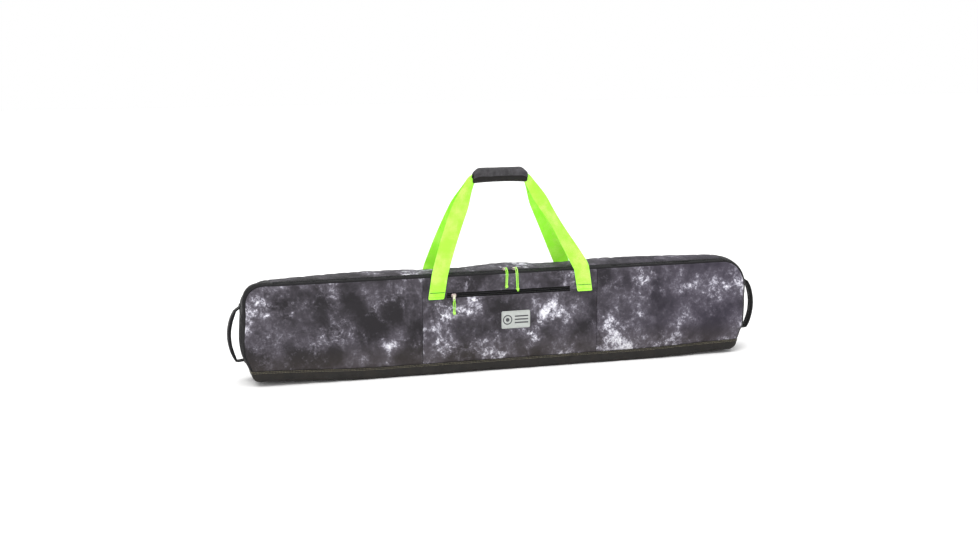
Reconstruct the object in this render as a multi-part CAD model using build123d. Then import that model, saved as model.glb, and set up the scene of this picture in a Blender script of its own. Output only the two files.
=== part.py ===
from build123d import *
import math
import os

# Padded snowboard bag, standing on its base. Millimetres, +Z up, +X along the bag to its right
# end, -Y the front. The origin is under the middle of the bag, on the surface it stands on.

# ---------------------------------------------------------------- driving dimensions
BAG_LENGTH = 1650.0
BAG_DEPTH = 145.0
BAG_HEIGHT = 308.0
TOP_CORNER_R = 90.0
BASE_CORNER_R = 28.0
BASE_TUCK = 28.0            # how far each end draws in at the base
TUCK_HEIGHT = 86.0          # where that tuck begins
TUCK_R = 50.0
EDGE_R = 14.0               # rounding of the long edges

FABRIC = 2.0                # outer fabric with its backing
FOAM = 8.0
LINING = 1.0
BOOT_HEIGHT = 36.0
FRONT_WRAP = 6.0            # front panels turn this far round the edge
PANEL_SEAM_X = 283.0        # seams each side of the pocket

ZIP_SETBACK = 24.5          # main zipper line behind the front face
COIL_WIDTH = 2.8
COIL_HEIGHT = 2.0
CHAIN_GAP = 2.0             # between the two coils
TAPE = 1.0
TAPE_WIDTH = 13.0
TAPE_SHOWN = 7.0            # from the zipper line to the fabric edge
LID_GAP = 0.5
ZIP_END = 6.0               # the chain stops this far short of the lid's ends
STOP_LENGTH = 4.0

POCKET_ZIP_DROP = 65.0      # pocket zipper below the bag's top
POCKET_ZIP_LEFT = -207.0
POCKET_ZIP_RIGHT = 192.0
POCKET_GAP = 3.0            # slack inside the empty pocket
POCKET_TOP_DROP = 8.0       # the pocket ends this far below the bag's top
POCKET_SLIDER_X = -186.0

PATCH_LENGTH = 97.0
PATCH_HEIGHT = 58.0
PATCH_X = 11.5
PATCH_DROP = 85.0           # patch's middle below the pocket zipper
PATCH = 1.2

WEBBING = 50.0
STRAP = 2.4
STRAP_FOOT_X = 241.5
STRAP_EDGE_X = 229.0
STRAP_FOOT_DROP = 75.0      # straps are sewn down to here, below the bag's top
EDGE_RISE = 2.5             # strap hinge line above the bag's top
STRAP_GAP = 1.6             # between two straps, and at the hinge line
GRIP_X = -16.0              # the grip leans a little to the left
GRIP_LENGTH = 176.0
GRIP_HEIGHT = 52.0
GRIP_DEPTH = 36.0
GRIP_RISE = 314.0           # top of the grip above the bag's top
GRIP_WALL = 3.0
GRIP_R = 15.0
GRIP_PAD_END = 4.0          # the padding stops this far inside each end
FLAP = 3.0
FLAP_END = 1.0              # the flap stops this far inside each end
GRIP_MOUTH = 2.0            # the gathered webbing shows this far at each end
GRIP_STRAP_ROOM = 3.0       # above and below the gathered webbing inside the grip
GRIP_STRAP_DROP = 2.5       # it lies this far under the grip's middle
LEG_BOW_LEFT = 12.0
LEG_BOW_RIGHT = -4.0
LEG_RISE = 20.0
LEG_STEPS = 6

GRAB_WEBBING = 28.0
GRAB_PAD = 9.0
GRAB_REACH = 38.0           # outer face of the loop beyond the bag's end
GRAB_TOP_RISE = 13.0        # top of the loop above the start of the top corner
GRAB_FOOT_Z = 62.0
GRAB_EDGE_R = 3.0
GRAB_TAB = 3.0
GRAB_TAB_HEIGHT = 24.0
GRAB_TAB_DROP = 14.0        # upper tab's middle below the top of the loop
GRAB_UPPER_DROP = 10.0      # and the loop's own end
GRAB_LOWER_RISE = 8.0       # the loop's lower end above its foot
GRAB_STANDOFF = 15.0        # the padded loop starts this far off the end
GRAB_NECK = 4.0             # bare webbing between the loop and its tabs
GRAB_NECK_GAP = 1.6
GRAB_NECK_SUNK = 1.0        # that webbing runs this far into the loop's end
GRAB_NECK_RISE = 4.0
GRAB_LOWER_LEAN = 4.0

SLIDER_X = 16.0             # both main sliders, each side of the middle
SLIDER_LENGTH = 14.0
SLIDER_LIP = 1.0
SLIDER_CORNER_R = 2.5
PLATE = 1.2
CLEAR = 0.4
POST = 1.0
PIN_R = 0.9
PIN_PLAY = 0.2
PIN_CLEAR = 1.0             # tab's barrel above the slider's plate
TAB_WIDTH = 7.6
TAB_LENGTH = 17.0
TAB_THICK = 1.6
TAB_BARREL_R = 2.0
TAB_CORNER_R = 1.8
TAB_END = 2.0
EAR = 1.6
EAR_R = 2.0
CORD_R = 1.5
CORD_PLAY = 0.7             # all round the cord in a tab's eye
KNOT_R = 4.5
KNOT_GAP = 0.8              # between a knot and the front panel
KNOT_LEAN = 2.0             # main knots hang this far outwards
LEFT_PULL_DROP = 46.0       # main knots below the bag's top
RIGHT_PULL_DROP = 56.0
POCKET_PULL_DROP = 54.0     # pocket knot below its zipper

BIG = 4000.0                # reaches past everything
OVERCUT = 1.0               # cutters run this far past a face
ARC_SHARE = 0.45            # of the shorter run beside it, taken by each arc of a cord
TINY = 0.1                  # keeps a round from using up its whole face

# ---------------------------------------------------------------- worked out
half_length = BAG_LENGTH / 2
half_depth = BAG_DEPTH / 2
lid_half = half_length - TOP_CORNER_R
wrap_y = -half_depth + FRONT_WRAP
zip_y = -half_depth + ZIP_SETBACK
hinge_y = half_depth - EDGE_R
foam_in = FABRIC + FOAM
lining_in = foam_in + LINING
tape_top = BAG_HEIGHT - FABRIC + TAPE
chain_half = lid_half - ZIP_END
pocket_zip_z = BAG_HEIGHT - POCKET_ZIP_DROP
pocket_top = BAG_HEIGHT - POCKET_TOP_DROP
strap_y = half_depth + STRAP / 2
strap_foot_z = BAG_HEIGHT - STRAP_FOOT_DROP
strap_hinge_z = BAG_HEIGHT + EDGE_RISE
strap_pitch = STRAP + STRAP_GAP
grip_z = BAG_HEIGHT + GRIP_RISE - GRIP_HEIGHT / 2
grip_r = min(GRIP_R, GRIP_DEPTH / 2 - TINY)
grip_strap = GRIP_HEIGHT - 2 * (FLAP + GRIP_WALL + GRIP_STRAP_ROOM)
grip_strap_z = grip_z - GRIP_STRAP_DROP
grip_strap_half = GRIP_LENGTH / 2 + GRIP_MOUTH
grab_top_z = BAG_HEIGHT - TOP_CORNER_R + GRAB_TOP_RISE
slider_half = CHAIN_GAP / 2 + COIL_WIDTH + CLEAR + SLIDER_LIP
pin_rise = COIL_HEIGHT + CLEAR + PLATE + TAB_BARREL_R + PIN_CLEAR
tab_eye = 2 * (CORD_R + CORD_PLAY)

os.makedirs("parts", exist_ok=True)


def save(name, *solids):
    """One node: its separate solids in one file."""
    found = [s for shape in solids for s in shape.solids()]
    export_step(Compound(children=found) if len(found) > 1 else found[0], f"parts/{name}.step")


def block(x0, x1, y0, y1, z0, z1):
    size = (x1 - x0, y1 - y0, z1 - z0)
    middle = ((x0 + x1) / 2, (y0 + y1) / 2, (z0 + z1) / 2)
    return Pos(*middle) * Box(*size)


def outline(inset):
    """The bag seen from the front, drawn in by inset: X across, Z up."""
    foot = half_length - BASE_TUCK
    corners = [
        (-foot, 0), (foot, 0), (half_length, TUCK_HEIGHT), (half_length, BAG_HEIGHT),
        (-half_length, BAG_HEIGHT), (-half_length, TUCK_HEIGHT),
    ]
    face = make_face(Polyline(*corners, close=True))
    face = fillet(face.vertices().group_by(Axis.Y)[-1], TOP_CORNER_R)
    face = fillet(face.vertices().group_by(Axis.Y)[0], BASE_CORNER_R)
    tucks = [v for v in face.vertices() if abs(v.Y - TUCK_HEIGHT) < TINY]
    face = fillet(tucks, TUCK_R)
    return offset(face, -inset) if inset else face


def skin(inset):
    """The whole bag as a solid, drawn in by inset all over."""
    body = extrude(Plane.XZ * outline(inset), half_depth - inset, both=True)
    ends = body.faces().sort_by(Axis.Y)
    return fillet(ends[0].edges() + ends[-1].edges(), EDGE_R - inset)


under_fabric = skin(FABRIC)
under_foam = skin(foam_in)
inside = skin(lining_in)
shell = skin(0) - under_fabric


# ---------------------------------------------------------------- outer fabric
def front_panels():
    front = shell & block(-BIG, BIG, -BIG, wrap_y, BOOT_HEIGHT, BIG)
    slot = block(POCKET_ZIP_LEFT, POCKET_ZIP_RIGHT, -BIG, BIG,
                 pocket_zip_z - TAPE_SHOWN, pocket_zip_z + TAPE_SHOWN)
    middle = (front & block(-PANEL_SEAM_X, PANEL_SEAM_X, -BIG, BIG, -BIG, BIG)) - slot
    save("front_panel_left", front & block(-BIG, -PANEL_SEAM_X, -BIG, BIG, -BIG, BIG))
    save("front_panel_right", front & block(PANEL_SEAM_X, BIG, -BIG, BIG, -BIG, BIG))
    tapes = pocket_tape_space()
    save("pocket_top_strip", (middle & block(-BIG, BIG, -BIG, BIG, pocket_zip_z, BIG)) - tapes)
    save("pocket_panel", (middle & block(-BIG, BIG, -BIG, BIG, -BIG, pocket_zip_z)) - tapes)


def back_and_ends():
    save("back_panel", shell & block(-BIG, BIG, hinge_y, BIG, BOOT_HEIGHT, BIG))
    save("base_boot", shell & block(-BIG, BIG, -BIG, BIG, -BIG, BOOT_HEIGHT))
    ring = shell & block(-BIG, BIG, wrap_y, hinge_y, BOOT_HEIGHT, BIG)
    save("end_panel_left", ring & block(-BIG, -lid_half, -BIG, BIG, -BIG, BIG))
    save("end_panel_right", ring & block(lid_half, BIG, -BIG, BIG, -BIG, BIG))
    gusset = shell & block(-lid_half, lid_half, wrap_y, zip_y - TAPE_SHOWN, BAG_HEIGHT - EDGE_R, BIG)
    save("front_gusset", gusset - root_tape())


# ---------------------------------------------------------------- padding and lining
def padding():
    foam_y = half_depth - foam_in
    pocket = block(-PANEL_SEAM_X, PANEL_SEAM_X, -BIG, -half_depth + FABRIC + POCKET_GAP + LINING,
                   BOOT_HEIGHT, pocket_top)
    save("front_foam", (under_fabric & block(-BIG, BIG, -BIG, -foam_y, -BIG, BIG)) - pocket)
    save("back_foam", under_fabric & block(-BIG, BIG, foam_y, BIG, -BIG, BIG))
    ring = (under_fabric - under_foam) & block(-BIG, BIG, -foam_y, foam_y, -BIG, BIG)
    save("base_foam", ring & block(-lid_half, lid_half, -BIG, BIG, -BIG, foam_in))
    save("end_foam_left", ring & block(-BIG, -lid_half, -BIG, BIG, -BIG, BIG))
    save("end_foam_right", ring & block(lid_half, BIG, -BIG, BIG, -BIG, BIG))
    backing_y = -half_depth + FABRIC + POCKET_GAP
    save("pocket_backing",
         block(-PANEL_SEAM_X, PANEL_SEAM_X, backing_y, backing_y + LINING, BOOT_HEIGHT, pocket_top))


def linings():
    lining_y = half_depth - lining_in
    save("front_lining", under_foam & block(-BIG, BIG, -BIG, -lining_y, -BIG, BIG))
    save("back_lining", under_foam & block(-BIG, BIG, lining_y, BIG, -BIG, BIG))
    ring = (under_foam - inside) & block(-BIG, BIG, -lining_y, lining_y, -BIG, BIG)
    save("base_lining", ring & block(-lid_half, lid_half, -BIG, BIG, -BIG, lining_in))
    save("end_linings",
         ring & block(-BIG, -lid_half, -BIG, BIG, -BIG, BIG),
         ring & block(lid_half, BIG, -BIG, BIG, -BIG, BIG))


# ---------------------------------------------------------------- main zipper and lid
def root_tape():
    edge = zip_y - CHAIN_GAP / 2
    return block(-lid_half, lid_half, edge - TAPE_WIDTH, edge, tape_top - TAPE, tape_top)


def lid_tape():
    edge = zip_y + CHAIN_GAP / 2
    reach = lid_half - LID_GAP
    return block(-reach, reach, edge, edge + TAPE_WIDTH, tape_top - TAPE, tape_top)


def main_zipper():
    root_edge = zip_y - CHAIN_GAP / 2
    lid_edge = zip_y + CHAIN_GAP / 2
    coil_top = tape_top + COIL_HEIGHT
    save("front_zipper_tape", root_tape())
    save("lid_zipper_tape", lid_tape())
    save("front_zipper_coil",
         block(-chain_half, chain_half, root_edge - COIL_WIDTH, root_edge, tape_top, coil_top))
    save("lid_zipper_coil",
         block(-chain_half, chain_half, lid_edge, lid_edge + COIL_WIDTH, tape_top, coil_top))


def lid():
    reach = lid_half - LID_GAP
    top = shell & block(-reach, reach, zip_y + TAPE_SHOWN, hinge_y - LID_GAP, BAG_HEIGHT - EDGE_R, BIG)
    save("lid_panel", top - lid_tape())
    pad_front = zip_y + CHAIN_GAP / 2 + TAPE_WIDTH + LID_GAP
    pad_back = hinge_y - LID_GAP
    foam_top = BAG_HEIGHT - FABRIC
    foam_under = BAG_HEIGHT - foam_in
    save("lid_foam", block(-reach, reach, pad_front, pad_back, foam_under, foam_top))
    save("lid_lining", block(-reach, reach, pad_front, pad_back, foam_under - LINING, foam_under))


# ---------------------------------------------------------------- pocket zipper
def pocket_tape_space():
    face = -half_depth + FABRIC
    top = pocket_zip_z + CHAIN_GAP / 2
    under = pocket_zip_z - CHAIN_GAP / 2
    upper = block(POCKET_ZIP_LEFT, POCKET_ZIP_RIGHT, face - TAPE, face, top, top + TAPE_WIDTH)
    lower = block(POCKET_ZIP_LEFT, POCKET_ZIP_RIGHT, face - TAPE, face, under - TAPE_WIDTH, under)
    return upper + lower


def zipper_stop(x, y, z, turn):
    """A moulded stop over the end of one coil."""
    stop = Box(STOP_LENGTH, COIL_WIDTH, COIL_HEIGHT)
    return Pos(x, y, z) * Rot(turn, 0, 0) * stop


def pocket_zipper():
    tape_face = -half_depth + FABRIC - TAPE
    left = POCKET_ZIP_LEFT + STOP_LENGTH + CLEAR
    right = POCKET_ZIP_RIGHT - STOP_LENGTH - CLEAR
    coils = []
    stops = []
    for side in (-1, 1):
        middle = pocket_zip_z + side * (CHAIN_GAP + COIL_WIDTH) / 2
        coils.append(block(left, right, tape_face - COIL_HEIGHT, tape_face,
                           middle - COIL_WIDTH / 2, middle + COIL_WIDTH / 2))
        for x in (POCKET_ZIP_LEFT + STOP_LENGTH / 2, POCKET_ZIP_RIGHT - STOP_LENGTH / 2):
            stops.append(zipper_stop(x, tape_face - COIL_HEIGHT / 2, middle, 90))
    save("pocket_zipper_tapes", pocket_tape_space())
    save("pocket_zipper_coils", *coils)
    main_y = zip_y - (CHAIN_GAP + COIL_WIDTH) / 2
    for side in (-1, 1):
        x = side * (chain_half + CLEAR / 2 + STOP_LENGTH / 2)
        stops.append(zipper_stop(x, main_y, tape_top + COIL_HEIGHT / 2, 0))
    save("zipper_end_stops", *stops)


# ---------------------------------------------------------------- sliders and pull tabs
def slider(lower_from):
    """Along X, outwards +Z, zero on the tape's outer face. The lower plate starts at lower_from."""
    over = COIL_HEIGHT + CLEAR
    under = -TAPE - CLEAR
    half = SLIDER_LENGTH / 2
    body = block(-half, half, -slider_half, slider_half, over, over + PLATE)
    body = fillet(body.edges().filter_by(Axis.Z), SLIDER_CORNER_R)
    body += block(-half, half, lower_from, slider_half, under - PLATE, under)
    body += block(-POST, POST, -POST / 2, POST / 2, under - PLATE, over)
    for side in (-1, 1):
        lip = sorted((side * (slider_half - SLIDER_LIP), side * slider_half))
        body += block(-half + SLIDER_CORNER_R, half - SLIDER_CORNER_R, lip[0], lip[1], CLEAR, over)
        ear_x = side * (TAB_WIDTH / 2 + CLEAR + EAR / 2)
        ear = block(ear_x - EAR / 2, ear_x + EAR / 2, -EAR_R, EAR_R, over + PLATE, pin_rise + EAR_R)
        body += fillet(ear.edges().filter_by(Axis.X).group_by(Axis.Z)[-1], EAR_R - TINY)
    pin = Pos(0, 0, pin_rise) * Rot(0, 90, 0) * Cylinder(PIN_R, TAB_WIDTH + 2 * CLEAR + 2 * EAR)
    return body + pin


def pull_tab():
    """Hinge along X at the origin, the tab reaching out along -Y."""
    half = TAB_WIDTH / 2
    plate = block(-half, half, -TAB_LENGTH, 0, -TAB_THICK / 2, TAB_THICK / 2)
    plate = fillet(plate.edges().filter_by(Axis.Z).group_by(Axis.Y)[0], TAB_CORNER_R)
    eye_end = -TAB_LENGTH + TAB_END
    plate -= block(-tab_eye / 2, tab_eye / 2, eye_end, eye_end + tab_eye, -BIG, BIG)
    barrel = Rot(0, 90, 0) * Cylinder(TAB_BARREL_R, TAB_WIDTH)
    bore = Rot(0, 90, 0) * Cylinder(PIN_R + PIN_PLAY, TAB_WIDTH + 2 * OVERCUT)
    return plate + barrel - bore


def corner_radii(points):
    """The largest arc each corner has room for."""
    radii = []
    for before, here, after in zip(points, points[1:], points[2:]):
        run_in = here - before
        run_out = after - here
        half_turn = math.radians(run_in.get_angle(run_out)) / 2
        radii.append(ARC_SHARE * min(run_in.length, run_out.length) / math.tan(half_turn))
    return radii


def cord(name, knot, pin, up, over, down):
    """A cord up from its knot, through its tab's eye and down again: steps from the knot or the pin."""
    points = [knot + Vector(*step) for step in up]
    points += [pin + Vector(*step) for step in over]
    points += [knot + Vector(*step) for step in down]
    radii = corner_radii(points)
    path = FilletPolyline(*points, radius=radii)
    tube = sweep(Plane(path @ 0, z_dir=path % 0) * Circle(CORD_R), path)
    straight_volume = math.pi * CORD_R**2 * path.length
    print(name, "length", round(path.length, 1), "radii", [round(r, 1) for r in radii])
    print(name, "volume over section times length", round(tube.volume / straight_volume, 3))
    save(name, tube)


def main_pulls():
    """Both main sliders, with their tabs, looped cords and knots."""
    over = [(2.2, -30.0, -12.6), (1.6, -25.5, -0.6), (0.8, -19.2, 4.6), (0.0, -13.0, 3.8),
            (0.0, -13.0, -3.6), (-1.0, -20.4, -4.0), (-2.2, -27.6, -10.6)]
    for name, side, drop in (("left", -1, LEFT_PULL_DROP), ("right", 1, RIGHT_PULL_DROP)):
        slider_x = side * SLIDER_X
        lean = side * KNOT_LEAN
        pin = Vector(slider_x, zip_y, tape_top + pin_rise)
        knot = Vector(slider_x + lean, -half_depth - KNOT_R - KNOT_GAP, BAG_HEIGHT - drop)
        save(f"slider_{name}", Pos(slider_x, zip_y, tape_top) * slider(-POST / 2))
        save(f"pull_tab_{name}", Pos(*pin) * pull_tab())
        cord(f"pull_cord_{name}", knot, pin, [(2.0, 0.4, 3.0), (2.4 - lean / 2, 1.2, 21.0)],
             over, [(-2.0 - lean / 2, 1.8, 21.0), (-2.0, 0.4, 3.0)])
        save(f"pull_knot_{name}", Pos(*knot) * Sphere(KNOT_R))


def pocket_pull():
    face = -half_depth + FABRIC - TAPE
    outwards = Rot(90, 0, 0)
    pin = Vector(POCKET_SLIDER_X, face - pin_rise, pocket_zip_z)
    knot = Vector(POCKET_SLIDER_X, -half_depth - KNOT_R - KNOT_GAP, pocket_zip_z - POCKET_PULL_DROP)
    save("pocket_slider", Pos(POCKET_SLIDER_X, face, pocket_zip_z) * outwards * slider(-slider_half))
    save("pocket_pull_tab", Pos(*pin) * outwards * pull_tab())
    cord("pocket_pull_cord", knot, pin, [(2.0, -0.4, 3.0), (2.4, -2.6, 22.0)],
         [(1.4, -4.3, -19.0), (0.2, -3.5, -12.0), (0.0, 3.1, -12.8), (-1.4, 2.9, -21.0)],
         [(-2.4, 2.2, 20.0), (-2.0, 0.4, 3.0)])
    save("pocket_pull_knot", Pos(*knot) * Sphere(KNOT_R))


def patch():
    middle = Pos(PATCH_X, -half_depth - PATCH / 2, pocket_zip_z - PATCH_DROP)
    save("front_patch", middle * Box(PATCH_LENGTH, PATCH, PATCH_HEIGHT))


# ---------------------------------------------------------------- carry straps and grip
def ribbon(stations):
    """Flat webbing through stations of (centre, direction of its width, width)."""
    faces = []
    for centre, across, width in stations:
        x, y, z = centre
        dx, dz = across[0] * width / 2, across[1] * width / 2
        t = STRAP / 2
        faces.append(make_face(Polyline(
            (x - dx, y - t, z - dz), (x + dx, y - t, z + dz),
            (x + dx, y + t, z + dz), (x - dx, y + t, z - dz), close=True)))
    return loft(faces, ruled=True)


def strap_foot(side, front):
    """The part of a strap sewn down on a panel, up to its hinge line."""
    lean = (STRAP_FOOT_X - STRAP_EDGE_X) / (strap_hinge_z - strap_foot_z)
    width = WEBBING / math.cos(math.atan(lean))
    top_z = strap_hinge_z - STRAP_GAP
    top_x = STRAP_EDGE_X + lean * STRAP_GAP
    y = front * strap_y
    return ribbon([((side * STRAP_FOOT_X, y, strap_foot_z), (1, 0), width),
                   ((side * top_x, y, top_z), (1, 0), width)])


def strap_leg(side, front):
    """The free part of a strap, from its hinge line to the end of the grip."""
    bow = LEG_BOW_LEFT if side < 0 else LEG_BOW_RIGHT
    x0, z0 = side * STRAP_EDGE_X, strap_hinge_z
    x1, z1 = GRIP_X + side * grip_strap_half, grip_strap_z
    xc, zc = (x0 + x1) / 2 + side * bow, (z0 + z1) / 2 + LEG_RISE
    y0, y1 = front * strap_y, front * strap_pitch / 2
    stations = []
    for i in range(LEG_STEPS + 1):
        t = i / LEG_STEPS
        x = (1 - t) ** 2 * x0 + 2 * t * (1 - t) * xc + t**2 * x1
        z = (1 - t) ** 2 * z0 + 2 * t * (1 - t) * zc + t**2 * z1
        run_x = (1 - t) * (xc - x0) + t * (x1 - xc)
        run_z = (1 - t) * (zc - z0) + t * (z1 - zc)
        run = math.hypot(run_x, run_z)
        across, width = (run_z / run, -run_x / run), WEBBING
        if i == 0:
            across, width = (1, 0), WEBBING * run / run_z
        if i == LEG_STEPS:
            across, width = (0, -side), grip_strap
        y = y0 + (y1 - y0) * (z - z0) / (z1 - z0)
        stations.append(((x, y, z), across, width))
    return ribbon(stations)


def grip_part(wall_in, end_in):
    """The grip's oval section, drawn in by wall_in all round and by end_in at each end."""
    section = RectangleRounded(GRIP_DEPTH - 2 * wall_in, GRIP_HEIGHT - 2 * wall_in, grip_r - wall_in)
    return Pos(GRIP_X, 0, grip_z) * extrude(Plane.YZ * section, GRIP_LENGTH / 2 - end_in, both=True)


def grip_straps(front):
    y = front * strap_pitch / 2
    return block(GRIP_X - grip_strap_half, GRIP_X + grip_strap_half, y - STRAP / 2, y + STRAP / 2,
                 grip_strap_z - grip_strap / 2, grip_strap_z + grip_strap / 2)


def carry_handle():
    for name, side in (("left", -1), ("right", 1)):
        save(f"front_strap_foot_{name}", strap_foot(side, -1))
        save(f"back_strap_foot_{name}", strap_foot(side, 1))
        save(f"front_strap_leg_{name}", strap_leg(side, -1))
    save("back_strap", strap_leg(-1, 1) + grip_straps(1) + strap_leg(1, 1))
    save("front_strap_middle", grip_straps(-1))
    # The wrap is one layer all round. The flap is a second layer over its upper front quarter.
    save("grip_wrap", grip_part(FLAP, 0) - grip_part(FLAP + GRIP_WALL, -OVERCUT))
    save("grip_pad", grip_part(FLAP + GRIP_WALL, GRIP_PAD_END) - grip_straps(1) - grip_straps(-1))
    over = grip_part(0, FLAP_END) - grip_part(FLAP, -OVERCUT)
    save("grip_flap", over & block(-BIG, BIG, -BIG, -CLEAR, grip_z - CLEAR, BIG))
    save("grip_back_layer", over & block(-BIG, BIG, CLEAR, BIG, -BIG, BIG))


# ---------------------------------------------------------------- grab loops on the ends
def grab_loop(side):
    """A padded webbing loop, its tabs sewn on the end panel and the bare necks between them."""
    tuck = BASE_TUCK * (1 - GRAB_FOOT_Z / TUCK_HEIGHT)
    slope = math.degrees(math.atan(BASE_TUCK / TUCK_HEIGHT))
    panel_x = (half_length, half_length - tuck)
    start = (half_length + GRAB_STANDOFF, grab_top_z - GRAB_UPPER_DROP)
    furthest = (half_length + GRAB_REACH - GRAB_PAD / 2, (grab_top_z + GRAB_FOOT_Z) / 2)
    finish = (panel_x[1] + GRAB_STANDOFF + GRAB_LOWER_LEAN, GRAB_FOOT_Z + GRAB_LOWER_RISE)
    line = Plane.XZ * ThreePointArc(*[(side * x, z) for x, z in (start, furthest, finish)])
    across = Plane(line @ 0, x_dir=(0, 1, 0), z_dir=line % 0)
    loop = sweep(across * RectangleRounded(GRAB_WEBBING, GRAB_PAD, GRAB_EDGE_R), line)

    upper = Pos(side * panel_x[0], 0, grab_top_z - GRAB_TAB_DROP)
    lower = Pos(side * panel_x[1], 0, GRAB_FOOT_Z) * Rot(0, side * slope, 0)
    tabs = [place * Pos(side * GRAB_TAB / 2, 0, 0) * Box(GRAB_TAB, GRAB_WEBBING, GRAB_TAB_HEIGHT)
            for place in (upper, lower)]

    half = GRAB_NECK / 2
    roots = ((panel_x[0], grab_top_z - GRAB_UPPER_DROP),
             (panel_x[1] + GRAB_LOWER_LEAN, GRAB_FOOT_Z + GRAB_NECK_RISE))
    necks = []
    for (x0, z0), (x1, z1) in zip(roots, (start, finish)):
        inner = side * (x0 + GRAB_TAB + GRAB_NECK_GAP)
        sunk = side * (x1 - GRAB_NECK_SUNK)
        neck = make_face(Polyline((inner, z0 - half), (sunk, z1 - half),
                                  (sunk, z1 + half), (inner, z0 + half), close=True))
        necks.append(extrude(Plane.XZ * neck, GRAB_WEBBING / 2, both=True))
    return loop, tabs, necks


def grab_loops():
    every_tab = []
    for name, side in (("left", -1), ("right", 1)):
        loop, tabs, necks = grab_loop(side)
        save(f"grab_loop_{name}", loop)
        save(f"grab_ends_{name}", *necks)
        every_tab += tabs
    save("grab_tabs", *every_tab)


front_panels()
back_and_ends()
padding()
linings()
main_zipper()
lid()
pocket_zipper()
main_pulls()
pocket_pull()
patch()
carry_handle()
grab_loops()
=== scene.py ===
import math

import bmesh
import bpy
from mathutils import Matrix, Vector, geometry, noise
from mathutils.bvhtree import BVHTree


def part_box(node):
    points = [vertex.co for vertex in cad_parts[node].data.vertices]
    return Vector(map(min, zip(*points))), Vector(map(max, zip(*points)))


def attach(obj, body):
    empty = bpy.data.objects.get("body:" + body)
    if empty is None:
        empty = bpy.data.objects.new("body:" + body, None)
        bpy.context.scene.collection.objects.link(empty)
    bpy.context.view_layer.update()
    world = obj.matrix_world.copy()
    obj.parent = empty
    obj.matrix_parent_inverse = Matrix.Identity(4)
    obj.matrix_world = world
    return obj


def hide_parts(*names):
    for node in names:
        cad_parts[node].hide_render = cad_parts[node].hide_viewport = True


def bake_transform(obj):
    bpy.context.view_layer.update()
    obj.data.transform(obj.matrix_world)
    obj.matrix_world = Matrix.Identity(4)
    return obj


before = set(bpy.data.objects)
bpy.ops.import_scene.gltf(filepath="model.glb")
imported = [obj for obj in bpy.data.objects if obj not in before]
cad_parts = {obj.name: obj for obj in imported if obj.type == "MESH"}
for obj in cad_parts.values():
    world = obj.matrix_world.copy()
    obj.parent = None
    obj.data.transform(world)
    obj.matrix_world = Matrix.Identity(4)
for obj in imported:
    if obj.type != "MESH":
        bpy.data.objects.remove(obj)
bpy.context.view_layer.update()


# ---------------------------------------------------------------- sizes, in metres
def low(node):
    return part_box(node)[0]


def high(node):
    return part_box(node)[1]


MM = 0.001
HALF_LENGTH = high("end_panel_right").x
HALF_DEPTH = high("back_panel").y
HEIGHT = high("end_panel_right").z
LID_HALF = low("end_panel_right").x
HINGE_Y = low("back_panel").y
BOOT_Z = high("base_boot").z
SEAM_X = high("pocket_panel").x
ZIP_Y = (high("front_zipper_coil").y + low("lid_zipper_coil").y) / 2
LID_FRONT_Y = low("lid_panel").y
GUSSET_BACK_Y = 2 * ZIP_Y - LID_FRONT_Y
POCKET_ZIP = low("pocket_zipper_tapes"), high("pocket_zipper_tapes")
POCKET_ZIP_Z = (POCKET_ZIP[0].z + POCKET_ZIP[1].z) / 2
SLOT_HALF = (LID_FRONT_Y - GUSSET_BACK_Y) / 2
STRAP_HINGE_Z = low("front_strap_leg_left").z
GRIP_LOW, GRIP_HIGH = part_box("grip_wrap")
GRIP_MIDDLE = (GRIP_LOW + GRIP_HIGH) / 2

TOP_R = HALF_LENGTH - LID_HALF
EDGE_R = HALF_DEPTH - HINGE_Y
BASE_R = 28 * MM
TUCK = 28 * MM                 # how far each end draws in at the base
TUCK_Z = 86 * MM
TUCK_R = 50 * MM
PRINT_EDGE_Y = -HALF_DEPTH + 2 * MM
SEAM_ROLL = 3.5 * MM           # fabric turns into a seam over this distance
SEAM_DEPTH = 1.4 * MM
WEBBING = 50 * MM
CORD_D = 3 * MM
FINE_WEAVE = 5200.0            # how fast the shaders' threads repeat
CLOTH = 1.6 * MM
CLOTH_STEPS = 20
HAIR = 0.01 * MM               # closer than this, a cut keeps the point that is there

STRAP_FOOT_Z = low("front_strap_foot_left").z
STRAP_FOOT_X = 241.5 * MM
STRAP_X_TOP = 229 * MM
STRAP_Y = -low("front_strap_leg_left").y - 1.2 * MM
STRAP_Y_TOP = 2 * MM
GRIP_STRAP_Z = GRIP_LOW.z + 13 * MM

CAMERA_TURN = -17.93
CAMERA_RISE = 9.69
CAMERA_DISTANCE = 4.674
CAMERA_TARGET = Vector((-0.0496, 0.0, 0.2867))
CAMERA_LENS = 55.4
SENSOR = 36.0


def smooth(low_end, high_end, value):
    share = min(1.0, max(0.0, (value - low_end) / (high_end - low_end)))
    return share * share * (3 - 2 * share)


def between(start, end, step):
    """Evenly spaced values from start to end, about step apart, both included."""
    count = max(1, round((end - start) / step))
    return [start + (end - start) * i / count for i in range(count + 1)]


def placed(name, data):
    """A new object with this data, in the scene."""
    made = bpy.data.objects.new(name, data)
    bpy.context.collection.objects.link(made)
    return made


def cut(bm, place, across):
    """Cuts every face that a plane meets."""
    bmesh.ops.bisect_plane(bm, geom=bm.verts[:] + bm.edges[:] + bm.faces[:], dist=HAIR,
                           plane_co=place, plane_no=across)


def rounded(bm, geom, offset, segments, affect="EDGES"):
    bmesh.ops.bevel(bm, geom=geom, offset=offset, offset_type="OFFSET", segments=segments, profile=0.5,
                    affect=affect, material=-1)


def box_between(bm, below, above):
    """A box between two corners; gives back its middle and its size."""
    middle, size = (below + above) / 2, above - below
    bmesh.ops.create_cube(bm, size=1.0, matrix=Matrix.Translation(middle) @ Matrix.Diagonal((*size, 1)))
    return middle, size


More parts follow.
